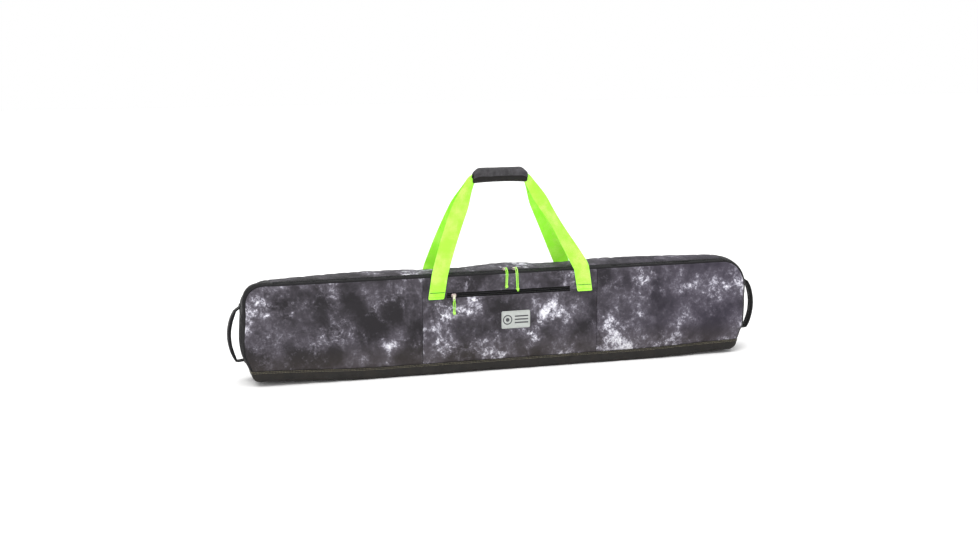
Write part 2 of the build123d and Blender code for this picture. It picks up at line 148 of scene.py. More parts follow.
# ---------------------------------------------------------------- camera, floor and light
def camera():
    """A view of the bag's front from a little to the left and above."""
    data = bpy.data.cameras.new("camera")
    data.lens = CAMERA_LENS
    data.sensor_width = SENSOR
    data.clip_end = 100
    eye = placed("camera", data)
    turn, rise = math.radians(CAMERA_TURN), math.radians(CAMERA_RISE)
    back = Vector((math.sin(turn) * math.cos(rise), -math.cos(turn) * math.cos(rise), math.sin(rise)))
    eye.location = CAMERA_TARGET + back * CAMERA_DISTANCE
    eye.rotation_euler = (-back).to_track_quat("-Z", "Y").to_euler()
    bpy.context.scene.camera = eye


def soft_light(name, place, aim, size, watts):
    data = bpy.data.lights.new(name, "AREA")
    data.shape = "RECTANGLE"
    data.size, data.size_y = size
    data.energy = watts
    light = placed(name, data)
    light.location = place
    light.rotation_euler = (Vector(aim) - Vector(place)).to_track_quat("-Z", "Y").to_euler()


def sun(name, turn, rise, strength, spread):
    """Light from far away; turn, rise and spread are in degrees."""
    data = bpy.data.lights.new(name, "SUN")
    data.energy = strength
    data.angle = math.radians(spread)
    placed(name, data).rotation_euler = (math.radians(90 - rise), 0, math.radians(turn))


def studio():
    """A plain pale floor under soft light."""
    world = bpy.data.worlds.new("studio")
    world.use_nodes = True
    sky = world.node_tree.nodes["Background"].inputs
    sky["Color"].default_value = (1, 1, 1, 1)
    sky["Strength"].default_value = 1.0
    bpy.context.scene.world = world
    bpy.context.scene.view_settings.view_transform = "Standard"
    sun("key", -40, 52, 1.1, 30)
    sun("top", 20, 82, 0.9, 60)
    soft_light("front", (-1.0, -3.2, 1.0), (0, 0, 0.15), (3.0, 1.2), 25)
    mesh = bpy.data.meshes.new("floor")
    bm = bmesh.new()
    bmesh.ops.create_grid(bm, x_segments=1, y_segments=1, size=14)
    bm.to_mesh(mesh)
    bm.free()
    floor = placed("floor", mesh)
    floor.data.materials.append(floor_material())


# ---------------------------------------------------------------- the bag's skin, in one closed piece
def round_corners(bm, corners, radius, turn, segments):
    """Rounds the outline's corners at the given points, each turning by turn degrees."""
    found = [v for v in bm.verts if any((v.co.xz - Vector(c)).length < 0.1 * MM for c in corners)]
    rounded(bm, found, radius * math.tan(math.radians(turn) / 2), segments, "VERTICES")


def bag_block(inset):
    """The bag's outline rounded, pulled out to its depth, with rolled long edges, drawn in by inset."""
    slope = math.degrees(math.atan(TUCK_Z / TUCK))
    side, foot, top = HALF_LENGTH - inset, HALF_LENGTH - TUCK - inset, HEIGHT - inset
    corners = [(-foot, inset), (foot, inset), (side, TUCK_Z), (side, top), (-side, top), (-side, TUCK_Z)]
    bm = bmesh.new()
    bm.faces.new([bm.verts.new((x, inset - HALF_DEPTH, z)) for x, z in corners])
    round_corners(bm, corners[3:5], TOP_R - inset, 90, 12)
    round_corners(bm, corners[0:2], BASE_R - inset, slope, 6)
    round_corners(bm, corners[2::3], TUCK_R, 90 - slope, 2)
    pulled = bmesh.ops.extrude_face_region(bm, geom=bm.faces[:])["geom"]
    bmesh.ops.translate(bm, verts=[g for g in pulled if isinstance(g, bmesh.types.BMVert)],
                        vec=(0, 2 * (HALF_DEPTH - inset), 0))
    rims = [e for e in bm.edges if abs(e.verts[0].co.y - e.verts[1].co.y) < 0.1 * MM]
    rounded(bm, rims, EDGE_R - inset, 5)
    bmesh.ops.recalc_face_normals(bm, faces=bm.faces[:])
    return bm


def cut_at(bm, seams, reach, axis, step):
    """Cuts across one axis at each seam, just beside it, and evenly in between."""
    marks = {-reach, reach} if axis != 2 else {0.0, reach}
    for seam in seams:
        marks |= {seam - SEAM_ROLL, seam, seam + SEAM_ROLL}
    marks = sorted(marks)
    for start, end in zip(marks, marks[1:]):
        for place in between(start, end, step)[:-1]:
            across = [0, 0, 0]
            across[axis] = 1
            cut(bm, [place * a for a in across], across)


def panel_of(at):
    """Which piece of fabric covers this place on the skin."""
    if at.z < BOOT_Z:
        return "boot"
    if at.y < PRINT_EDGE_Y:
        if abs(at.x) > SEAM_X:
            return "front_left" if at.x < 0 else "front_right"
        if POCKET_ZIP[0].x < at.x < POCKET_ZIP[1].x and abs(at.z - POCKET_ZIP_Z) < SLOT_HALF:
            return "slot"
        return "pocket" if at.z < POCKET_ZIP_Z else "strip"
    if at.y > HINGE_Y:
        return "back"
    if abs(at.x) > LID_HALF:
        return "end_left" if at.x < 0 else "end_right"
    if at.y < GUSSET_BACK_Y:
        return "gusset"
    return "lid" if at.y > LID_FRONT_Y else "slot"


# Each crease runs from x, z to x, z; its width and its depth are in millimetres.
CREASES = [(-0.79, 0.205, -0.66, 0.272, 13, -5.5), (-0.80, 0.232, -0.68, 0.296, 15, 3.4),
           (0.62, 0.262, 0.70, 0.240, 12, -4.5), (0.66, 0.285, 0.78, 0.225, 17, 3.4),
           (-0.42, 0.290, -0.36, 0.200, 16, 1.6), (0.33, 0.280, 0.40, 0.175, 18, 1.8),
           (-0.60, 0.050, -0.52, 0.120, 16, -1.6), (0.50, 0.050, 0.60, 0.130, 18, 1.6)]


def folds(at):
    """How far the soft creases in the front push the fabric out."""
    push = 0.0
    for x1, z1, x2, z2, width, depth in CREASES:
        start, end = Vector((x1, z1)), Vector((x2, z2))
        run = end - start
        along = min(1.0, max(0.0, (at.xz - start).dot(run) / run.length_squared))
        away = (at.xz - start - run * along).length
        push += depth * MM * math.exp(-(away / (width * MM)) ** 2)
    return push


def slump(at, out):
    """Where a point of the full skin comes to lie once the empty bag has settled; out is its normal."""
    x, y, z = at
    end = smooth(0.62, HALF_LENGTH, abs(x))
    rear = smooth(-HALF_DEPTH, HALF_DEPTH, y)
    low_down = 1 - smooth(0.02, 0.15, z)
    lift = (13 if x < 0 else 9) * MM * smooth(0.40, 0.80, abs(x)) * (1 - smooth(0.02, 0.20, z))
    crown = (4.5 - 13 * (x - 0.15) ** 2) * MM * smooth(LID_FRONT_Y, 0.0, y) * smooth(0.20, HEIGHT, z)
    if x < 0:
        pull = (8 + 5 * low_down) * MM * rear - 6 * MM * (1 - rear) * math.exp(-((z - 0.126) / 0.06) ** 2)
    else:
        pull = -((19 + 5 * low_down) * (1 - smooth(-HALF_DEPTH, 0.02, y)) + 4) * MM
    droop = 4 * MM * smooth(0.55, 0.76, abs(x)) * smooth(-0.02, HALF_DEPTH, y) * smooth(0.20, HEIGHT, z)
    belly = (-7 * MM * (1 - smooth(0.50, 0.80, abs(x))) * (1 - smooth(0.0, BOOT_Z, z))
             * (1 - smooth(-HALF_DEPTH, 0.0, y)))
    beside = smooth(0.03, 0.14, abs(x)) * (1 - smooth(0.24, 0.36, abs(x)))
    pressed = 6 * MM * beside * smooth(-0.045, 0.02, y) * smooth(0.25, HEIGHT, z)
    settled = Vector((pull * end, belly, lift + crown - droop - pressed))
    if x < -LID_HALF and z > HEIGHT - TOP_R:      # the left corner stays squarer in front than behind
        arm = Vector((x + LID_HALF, 0, z - HEIGHT + TOP_R))
        square = math.sin(2 * math.atan2(arm.z, -arm.x)) ** 2 * arm.length / TOP_R
        settled += arm * square * 0.19 * (1 - rear)
    wave = noise.noise(Vector((x * 7, y * 9, z * 9))) * 2.2 * MM
    wave += noise.noise(Vector((x * 16 + 3, y * 16, z * 14))) * 0.9 * MM
    if z < BOOT_Z:
        wave += noise.noise(Vector((x * 34, y * 30, z * 5))) * 2.4 * MM * smooth(0.0, 0.014, z)
    if y < 0:
        wave += folds(at) * smooth(0.3, 0.9, -out.y)
    free = smooth(0.0, 0.03, abs(y - ZIP_Y)) if z > HEIGHT - EDGE_R else 1.0
    if y < -HINGE_Y and POCKET_ZIP[0].x - 0.03 < x < POCKET_ZIP[1].x + 0.03:
        free = min(free, smooth(SLOT_HALF, 0.03, abs(z - POCKET_ZIP_Z)))
    push = wave * free
    return at + out * (push - max(0.0, push) * cord_run(at, out)) + settled


def cord_run(at, out):
    """1 on the front's top part, which stays taut behind the hanging pull cords, and 0 away from it."""
    return smooth(0.215, 0.243, at.z) * smooth(0.3, 0.8, -out.y) * (1 - smooth(0.76, 0.80, abs(at.x)))


def puff(rest, faces, pinned, pressure, cap):
    """Fills a closed skin with air as cloth. Points in pinned stay, and no point moves further than cap."""
    mesh = bpy.data.meshes.new("filling")
    mesh.from_pydata(rest, [], faces)
    skin = placed("filling", mesh)
    group = skin.vertex_groups.new(name="sewn")
    group.add(pinned, 1.0, "REPLACE")
    cloth = skin.modifiers.new("cloth", "CLOTH")
    for key, value in dict(quality=4, mass=0.25, tension_stiffness=12, compression_stiffness=12, shear_stiffness=6,
                           bending_stiffness=0.8, shrink_min=-0.012, use_pressure=True,
                           uniform_pressure_force=pressure, vertex_group_mass="sewn").items():
        setattr(cloth.settings, key, value)
    cloth.settings.effector_weights.gravity = 0
    cloth.collision_settings.use_collision = False
    for step in range(1, CLOTH_STEPS + 1):
        bpy.context.scene.frame_set(step)
    filled = skin.evaluated_get(bpy.context.evaluated_depsgraph_get())
    moved = []
    for start, vertex in zip(rest, filled.data.vertices):
        shift = vertex.co - start
        far = max(shift.length, 0.001 * MM)
        moved.append(start + shift * (cap * math.tanh(far / cap) / far))
    bpy.data.objects.remove(skin)
    bpy.context.scene.frame_set(1)
    return moved


class Skin:
    """The bag's surface, face by face, as it was cut and as it lies once padded."""

    def __init__(self, inset, step, padded):
        self.block = bag_block(inset)
        gaps = {0: [-LID_HALF, -SEAM_X, POCKET_ZIP[0].x, POCKET_ZIP[1].x, SEAM_X, LID_HALF],
                1: [PRINT_EDGE_Y, GUSSET_BACK_Y, LID_FRONT_Y, HINGE_Y],
                2: [BOOT_Z, POCKET_ZIP_Z - SLOT_HALF, POCKET_ZIP_Z + SLOT_HALF]}
        for axis, reach in ((0, HALF_LENGTH), (1, HALF_DEPTH), (2, HEIGHT)):
            cut_at(self.block, gaps[axis], reach, axis, step)
        bmesh.ops.remove_doubles(self.block, verts=self.block.verts[:], dist=0.3 * MM)
        bm = self.block
        bm.verts.ensure_lookup_table()
        bm.faces.ensure_lookup_table()
        self.rest = [v.co.copy() for v in bm.verts]
        self.panels = [panel_of(f.calc_center_median() + f.normal * inset) for f in bm.faces]
        self.normals = [v.normal.copy() for v in bm.verts]
        seam = {v.index for v in bm.verts if len({self.panels[f.index] for f in v.link_faces}) > 1}
        flat = {v.index for v in bm.verts if v.co.z < inset + 0.5 * MM}
        lies = list(self.rest)
        if padded:
            corners = [[v.index for v in f.verts] for f in bm.faces]
            lies = puff(self.rest, corners, sorted(seam | flat), 3.0, 7 * MM)
        for i, normal in enumerate(self.normals):
            lies[i] = lies[i].lerp(self.rest[i], cord_run(self.rest[i], normal))
            start = lies[i] - normal * SEAM_DEPTH if i in seam and padded else lies[i]
            lies[i] = slump(start, normal)
        for vertex, place in zip(bm.verts, lies):
            vertex.co = place
        self.lies = lies
        bm.normal_update()
        self.cut = [(a, b, c) for f in bm.faces for a, b, c in
                    [[f.verts[0].index, f.verts[i].index, f.verts[i + 1].index] for i in range(1, len(f.verts) - 1)]]
        self.tree = BVHTree.FromPolygons(self.rest, self.cut)

    def place(self, at, lift=0.0):
        """The point of the padded skin that was at this place when cut, raised by lift, and its normal."""
        near, _, face, _ = self.tree.find_nearest(at)
        a, b, c = self.cut[face]
        here = geometry.barycentric_transform(near, self.rest[a], self.rest[b], self.rest[c],
                                              self.lies[a], self.lies[b], self.lies[c])
        out = geometry.normal([self.lies[a], self.lies[b], self.lies[c]])
        return here + out * lift, out

    def piece(self, name, panels, thick, inwards=True):
        """One or more panels cut out of the skin, with the fabric's thickness."""
        bm = self.block.copy()
        bm.faces.ensure_lookup_table()
        other = [f for f in bm.faces if self.panels[f.index] not in panels]
        bmesh.ops.delete(bm, geom=other, context="FACES")
        if not inwards:
            bmesh.ops.reverse_faces(bm, faces=bm.faces[:])
        return thickened(smoother(new_piece(name, bm)), thick, -1)


def new_piece(name, bm):
    mesh = bpy.data.meshes.new(name)
    for face in bm.faces:
        face.smooth = True
    bm.to_mesh(mesh)
    bm.free()
    return placed(name, mesh)


def smoother(piece, level=1):
    mod = piece.modifiers.new("smooth", "SUBSURF")
    mod.levels = level
    mod.render_levels = level
    return piece


def thickened(piece, thick, side):
    """Gives a surface its thickness: side 0 on both faces, -1 behind it."""
    wall = piece.modifiers.new("thickness", "SOLIDIFY")
    wall.thickness = thick
    wall.offset = side
    return piece


# ---------------------------------------------------------------- materials
class Nodes:
    """Short ways to add nodes to one tree."""

    def __init__(self, tree):
        self.tree = tree

    def add(self, kind, inputs=(), **settings):
        node = self.tree.nodes.new("ShaderNode" + kind)
        for name, value in settings.items():
            setattr(node, name, value)
        for key, value in dict(inputs).items():
            self.set(node.inputs[key], value)
        return node

    def set(self, socket, value):
        if isinstance(value, bpy.types.NodeSocket):
            self.tree.links.new(value, socket)
        else:
            socket.default_value = value

    def paint(self, shader, value):
        self.set(shader.inputs["Base Color"], value)

    def maths(self, operation, first, second=0.0, clamp=False):
        return self.add("Math", {0: first, 1: second}, operation=operation, use_clamp=clamp).outputs[0]

    def ramp(self, value, start, end, low_value=0.0, high_value=1.0):
        """A smooth step of value from start to end."""
        node = self.add("MapRange", {0: value, 1: start, 2: end, 3: low_value, 4: high_value},
                        interpolation_type="SMOOTHSTEP")
        return node.outputs[0]

    def mix(self, share, first, second):
        node = self.add("Mix", data_type="RGBA")
        self.set(node.inputs[0], share)
        self.set(node.inputs[6], first)
        self.set(node.inputs[7], second)
        return node.outputs[2]

    def noise(self, at, scale, detail=4.0, rough=0.55, warp=0.0):
        return self.add("TexNoise", {"Vector": at, "Scale": scale, "Detail": detail, "Roughness": rough,
                                     "Distortion": warp}).outputs[0]

    def sum(self, first, *more):
        for value in more:
            first = self.maths("ADD", first, value)
        return first

    def times(self, first, second, clamp=False):
        return self.maths("MULTIPLY", first, second, clamp)

    def less(self, first, second):
        return self.maths("SUBTRACT", first, second)


def group(name, inputs, outputs):
    """A new shader group: its tree, its nodes' helper, its inputs by name and its output node."""
    tree = bpy.data.node_groups.new(name, "ShaderNodeTree")
    for label, kind, value in inputs:
        socket = tree.interface.new_socket(name=label, in_out="INPUT", socket_type="NodeSocket" + kind)
        if value is not None:
            socket.default_value = value
    for label, kind in outputs:
        tree.interface.new_socket(name=label, in_out="OUTPUT", socket_type="NodeSocket" + kind)
    nodes = Nodes(tree)
    return tree, nodes, tree.nodes.new("NodeGroupInput").outputs, tree.nodes.new("NodeGroupOutput").inputs


def colour(red, green, blue):
    """A screen colour, 0 to 255, as the linear colour that the shaders use."""
    return tuple(((c / 255 + 0.055) / 1.055) ** 2.4 if c > 10 else c / 3300 for c in (red, green, blue)) + (1.0,)


def weave_group():
    """Plain weave: crossed threads as a height, with a little unevenness between threads."""
    tree, n, given, out = group("plain weave", [("Vector", "Vector", None), ("Threads", "Float", 1600.0)],
                                [("Height", "Float"), ("Slub", "Float")])
    split = n.add("SeparateXYZ", {0: given["Vector"]}).outputs
    level = n.maths("ADD", split[0], split[1])
    warp = n.maths("SINE", n.times(level, given["Threads"]))
    weft = n.maths("SINE", n.times(split[2], given["Threads"]))
    n.set(out["Height"], n.times(warp, weft))
    n.set(out["Slub"], n.noise(given["Vector"], 900.0, 2.0))
    return tree


def cloud_group():
    """Cloud dye: dark ground with soft mid patches, veined light clouds and the brightest flecks."""
    tree, n, given, out = group("cloud dye", [("Vector", "Vector", None), ("Amount", "Float", 0.5)],
                                [("Color", "Color")])
    at = given["Vector"]
    broad = n.noise(at, 7.0, 2.0, 0.5)
    patches = n.noise(at, 15.0, 9.0, 0.70, 0.15)
    grain = n.noise(at, 62.0, 10.0, 0.80)
    level = n.sum(n.times(broad, 0.5), n.times(patches, 0.5), n.times(n.less(given["Amount"], 0.5), 0.16))
    fold = n.noise(at, 30.0, 6.0, 0.62, 0.5)
    vein = n.ramp(n.maths("ABSOLUTE", n.less(fold, 0.5)), 0.045, 0.0)
    cluster = n.ramp(n.noise(at, 11.0, 3.0, 0.5, 0.3), 0.44, 0.60)
    rough = n.sum(level, n.times(n.less(grain, 0.5), 0.66), n.times(n.times(vein, cluster), 0.06),
                  n.times(n.less(cluster, 0.5), 0.05))
    shade = n.mix(n.ramp(level, 0.40, 0.56), colour(30, 27, 31), colour(64, 60, 67))
    shade = n.mix(n.times(n.ramp(rough, 0.48, 0.62), 0.55), shade, colour(112, 108, 118))
    shade = n.mix(n.times(n.ramp(rough, 0.58, 0.68), 0.85), shade, colour(190, 188, 200))
    shade = n.mix(n.ramp(rough, 0.64, 0.74), shade, colour(238, 238, 243))
    n.set(out["Color"], shade)
    return tree


def dust_group():
    """Slight unevenness of a used surface: a mask of soft patches and specks."""
    tree, n, given, out = group("dust", [("Vector", "Vector", None), ("Scale", "Float", 40.0)], [("Mask", "Float")])
    n.set(out["Mask"], n.ramp(n.noise(given["Vector"], given["Scale"], 5.0, 0.6), 0.4, 0.75))
    return tree


MAKERS = {"weave": weave_group, "cloud": cloud_group, "dust": dust_group}
GROUPS = {}                    # each shared group, once it has been made


def material(name, rough, metal=0.0, sheen=0.0, gloss=0.5):
    """A material with only its plain numbers set, and its node helper, shader and place."""
    made = bpy.data.materials.new(name)
    made.use_nodes = True
    n = Nodes(made.node_tree)
    shader = made.node_tree.nodes["Principled BSDF"]
    for key, value in (("Roughness", rough), ("Metallic", metal), ("Sheen Weight", sheen), ("Sheen Roughness", 0.5),
                       ("Specular IOR Level", gloss)):
        shader.inputs[key].default_value = value
    return made, n, shader, n.add("TexCoord").outputs["Object"]


def effect(n, name, inputs):
    """One of the shared groups, used in a material; gives its outputs."""
    if name not in GROUPS:
        GROUPS[name] = MAKERS[name]()
    node = n.add("Group", node_tree=GROUPS[name])
    for key, value in inputs.items():
        n.set(node.inputs[key], value)
    return node.outputs


def bump(n, shader, height, depth):
    n.set(shader.inputs["Normal"], n.add("Bump", {"Height": height, "Distance": depth, "Strength": 1.0}).outputs[0])


def print_fabric(name, shift, turn, amount):
    """Cloud-dyed woven polyester, its pattern laid differently on each panel."""
    made, n, shader, place = material(name, 0.66, sheen=0.03, gloss=0.22)
    laid = n.add("Mapping", {"Vector": place, "Location": shift, "Rotation": (0, turn, 0)}).outputs[0]
    cloud = effect(n, "cloud", {"Vector": laid, "Amount": amount})
    weave = effect(n, "weave", {"Vector": place, "Threads": FINE_WEAVE})
    across = n.add("SeparateXYZ", {0: place}).outputs
    violet = n.times(n.ramp(across[0], 0.1, 0.75), 0.13)
    tinted = n.mix(violet, cloud["Color"], n.mix(0.5, cloud["Color"], colour(104, 92, 134)))
    earth = n.times(n.ramp(across[2], 0.13, 0.04), 0.45)
    tinted = n.mix(earth, tinted, n.mix(0.5, cloud["Color"], colour(74, 66, 56)))
    thread = n.times(n.less(weave["Slub"], 0.5), 0.35)
    n.paint(shader, n.mix(n.ramp(thread, -0.1, 0.1), n.mix(0.88, colour(20, 18, 20), tinted), tinted))
    crease = n.times(n.noise(place, 38.0, 4.0, 0.55, 0.5), 1.6)
    bump(n, shader, n.sum(crease, n.times(weave["Height"], 0.10)), 1.1 * MM)
    return made


def plain_fabric(name, dark, light, rough=0.6, threads=3600.0, sheen=0.1, crease=0.8, gloss=0.4):
    """Woven or coated cloth of one dye, with slight creasing and wear; on the grip flap the lighter patches are
    painted sheen, not wear.
    """
    made, n, shader, place = material(name, rough, sheen=sheen, gloss=gloss)
    weave = effect(n, "weave", {"Vector": place, "Threads": threads})
    dust = effect(n, "dust", {"Vector": place, "Scale": 30.0})
    n.paint(shader, n.mix(n.sum(n.times(dust["Mask"], 0.7), n.times(weave["Slub"], 0.3)), dark, light))
    n.set(shader.inputs["Roughness"], n.ramp(dust["Mask"], 0.0, 1.0, rough - 0.08, rough + 0.1))
    soft = n.times(n.noise(place, 55.0, 4.0, 0.55, 0.6), crease)
    bump(n, shader, n.sum(soft, n.times(weave["Height"], 0.15)), 1.0 * MM)
    return made


def floor_material():
    made, n, shader, place = material("pale_floor", 0.9, gloss=0.1)
    n.paint(shader, n.mix(n.noise(place, 3.0), (0.90, 0.90, 0.90, 1), (0.93, 0.925, 0.92, 1)))
    return made


# ---------------------------------------------------------------- strips, tubes and stitches
def strip(name, rows, thick, level=1, edge=0.5 * MM):
    """A band through rows of points, each row running across it, with thickness and soft edges."""
    bm = bmesh.new()
    across = len(rows[0])
    bmesh.ops.create_grid(bm, x_segments=across - 1, y_segments=len(rows) - 1, size=0.5)
    order = sorted(bm.verts, key=lambda v: (round(v.co.y, 5), v.co.x))
    for vertex, place in zip(order, [p for row in rows for p in row]):
        vertex.co = place
    made = thickened(smoother(new_piece(name, bm), level), thick, 0)
    soft = made.modifiers.new("edges", "BEVEL")
    soft.width = min(edge, thick * 0.3)
    soft.segments = 2
    return made


def new_curve(kind, points):
    curve = bpy.data.curves.new("line", "CURVE")
    curve.dimensions = "3D"
    spline = curve.splines.new(kind)
    spline.points.add(len(points) - 1)
    for point, place in zip(spline.points, points):
        point.co = (*place, 1.0)
    return curve, spline


def curve_mesh(curve):
    """The curve's own mesh; the curve is thrown away."""
    holder = placed("line", curve)
    mesh = bpy.data.meshes.new_from_object(holder.evaluated_get(bpy.context.evaluated_depsgraph_get()))
    bpy.data.objects.remove(holder)
    bpy.data.curves.remove(curve)
    return mesh


def tube(name, points, radius, sides, closed=False):
    """A round cord through points, as a mesh."""
    curve, spline = new_curve("POLY", points)
    curve.bevel_depth = radius
    curve.bevel_resolution = sides
    curve.use_fill_caps = True
    spline.use_cyclic_u = closed
    mesh = curve_mesh(curve)
    bm = bmesh.new()
    bm.from_mesh(mesh)
    bpy.data.meshes.remove(mesh)
    bmesh.ops.remove_doubles(bm, verts=bm.verts[:], dist=0.001 * MM)
    bmesh.ops.recalc_face_normals(bm, faces=bm.faces[:])
    return new_piece(name, bm)


def spaced(points, pitch):
    """Places along a line of points, pitch apart, each with the line's direction there."""
    found = []
    left = pitch / 2
    for start, end in zip(points, points[1:]):
        run = end - start
        while left <= run.length:
            found.append((start + run.normalized() * left, run.normalized()))
            left += pitch
        left -= run.length
    return found


def stitches(name, lines, finish, body="bag_body", lay=None, pitch=4.2 * MM, long=3.0 * MM, thick=0.6 * MM):
    """Rows of thread stitches along lines. lay gives the point and the outward direction at a place."""
    one = bmesh.new()
    bmesh.ops.create_uvsphere(one, u_segments=6, v_segments=4, radius=1.0,
                              matrix=Matrix.Rotation(math.pi / 2, 4, "Y"))
    thread = bpy.data.meshes.new("thread")
    one.to_mesh(thread)
    one.free()
    lay = lay or (lambda at: skin.place(at, 0.4 * MM))
    bm = bmesh.new()
    for line in lines:
        for place, along in spaced(line, pitch):
            here, out = lay(place)
            ahead = lay(place + along * MM)[0] - here
            ahead = ahead.normalized() if ahead.length > 0 else along
            side = out.cross(ahead).normalized()
            single = thread.copy()
            single.transform(Matrix.Translation(here) @
                             Matrix((ahead * long / 2, side * thick / 2, out * thick / 2)).transposed().to_4x4())
            bm.from_mesh(single)
            bpy.data.meshes.remove(single)
    bpy.data.meshes.remove(thread)
    return finished(new_piece(name, bm), body, finish)


def finished(piece, body, finish, *nodes, slot=None, fill=None):
    """Sets a piece on its body and dresses it."""
    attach(piece, body)
    return dressed(piece, finish, *nodes, slot=slot, fill=fill)


def dressed(piece, finish, *nodes, slot=None, fill=None):
    """Gives a piece its material and hides the CAD nodes it stands for; slot and fill are not used."""
    piece.data.materials.clear()
    piece.data.materials.append(finish)
    if nodes:
        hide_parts(*nodes)
    return piece


# ---------------------------------------------------------------- cords and their knots
def route(knot, pin, up, over, down):
    """From the knot up, over the tab's pin and back down to the knot."""
    points = [knot + Vector(step) * MM for step in up]
    points += [pin + Vector(step) * MM for step in over]
    return points + [knot + Vector(step) * MM for step in down]


def smooth_line(points):
    """Points along the smooth curve that a cord takes through its route."""
    curve, spline = new_curve("NURBS", points)
    spline.order_u = 3
    spline.use_endpoint_u = True
    curve.resolution_u = 14
    mesh = curve_mesh(curve)
    found = [v.co.copy() for v in mesh.vertices]
    bpy.data.meshes.remove(mesh)
    return found


def twisted_cord(name, points):
    """Three strands laid round one line, as one piece."""
    turns_per_metre, strands, step = 150, 3, 0.9 * MM
    line = smooth_line(points)
    length = sum((b - a).length for a, b in zip(line, line[1:]))
    marks = [(line[0], (line[1] - line[0]).normalized())] + spaced(line, step)
    side = marks[0][1].orthogonal().normalized()
    bm = bmesh.new()
    for strand in range(strands):
        lay = side
        path = []
        for i, (place, along) in enumerate(marks):
            lay = (lay - along * lay.dot(along)).normalized()
            angle = 2 * math.pi * (strand / strands + i * step * turns_per_metre)
            path.append(place + (lay * math.cos(angle) + along.cross(lay) * math.sin(angle)) * CORD_D * 0.24)
        single = tube("strand", path, CORD_D * 0.27, 1)
        bm.from_mesh(single.data)
        bpy.data.objects.remove(single)
    return new_piece(name, bm), line, length


def knot_piece(name, middle, size, ends):
    """An overhand knot drawn tight, with two cut ends of cord below it."""
    around = [2 * math.pi * i / 60 for i in range(60)]
    loop = [middle + Vector(((math.sin(t) + 2 * math.sin(2 * t)) / 3, -math.sin(3 * t) * 0.6,
                             (math.cos(t) - 2 * math.cos(2 * t)) / 3)) * size for t in around]
    knot = tube(name, loop, 1.6 * MM, 3, closed=True)
    bm = bmesh.new()
    bm.from_mesh(knot.data)
    for end in ends:
        tail = tube("tail", [middle, middle + Vector(end) * 0.55, middle + Vector(end)], 1.35 * MM, 3)
        bm.from_mesh(tail.data)
        bpy.data.objects.remove(tail)
    bm.to_mesh(knot.data)
    bm.free()
    for face in knot.data.polygons:
        face.use_smooth = True
    return knot


def pull_cords(finish):
    """The looped cord on each pull tab; routes are in millimetres from the knot and from the tab's pin."""
    over = [(2.2, -30.0, -12.6), (1.6, -25.5, -0.6), (0.8, -19.2, 4.6), (0.0, -13.0, 3.8),
            (0.0, -13.0, -3.6), (-1.0, -20.4, -4.0), (-2.2, -27.6, -10.6)]
    for side, sign, tails in (("left", -1, [(-2.5, 0.4, -6.5), (3.6, 0.2, -4.0)]),
                              ("right", 1, [(1.0, 0.4, -7.5), (3.8, 0.2, -5.0)])):
        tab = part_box(f"pull_tab_{side}")
        knot = sum(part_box(f"pull_knot_{side}"), Vector()) / 2
        pin = Vector(((tab[0].x + tab[1].x) / 2, tab[1].y - 2 * MM, (tab[0].z + tab[1].z) / 2))
        lean = sign * 2.0
        points = route(knot, pin, [(2.0, 0.4, 3.0), (2.4 - lean / 2, 1.2, 21.0)], over,
                       [(-2.0 - lean / 2, 1.8, 21.0), (-2.0, 0.4, 3.0)])
        hang(side, points, knot, tails, finish, f"pull_cord_{side}", f"pull_knot_{side}", f"{side}_tab")
    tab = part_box("pocket_pull_tab")
    knot = sum(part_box("pocket_pull_knot"), Vector()) / 2
    pin = Vector(((tab[0].x + tab[1].x) / 2, (tab[0].y + tab[1].y) / 2, tab[1].z - 2 * MM))
    points = route(knot, pin, [(2.0, -0.4, 3.0), (2.4, -2.6, 22.0)],
                   [(1.4, -4.3, -19.0), (0.2, -3.5, -12.0), (0.0, 3.1, -12.8), (-1.4, 2.9, -21.0)],
                   [(-2.4, 2.2, 20.0), (-2.0, 0.4, 3.0)])
    hang("pocket", points, knot, [(4.6, -0.6, -4.4), (-1.0, 0.3, -6.4)], finish,
         "pocket_pull_cord", "pocket_pull_knot", "pocket_tab")


def hang(name, points, knot, tails, finish, cord_node, knot_node, body):
    """One looped pull cord with its knot."""
    cord, line, length = twisted_cord(f"{name}_pull_cord", points)
    end = knot_piece(f"{name}_pull_knot", knot, 3.5 * MM, [Vector(t) * MM for t in tails])
    finished(end, body, finish, knot_node, slot="pull_cord")
    finished(cord, body, finish, cord_node, slot="pull_cord")


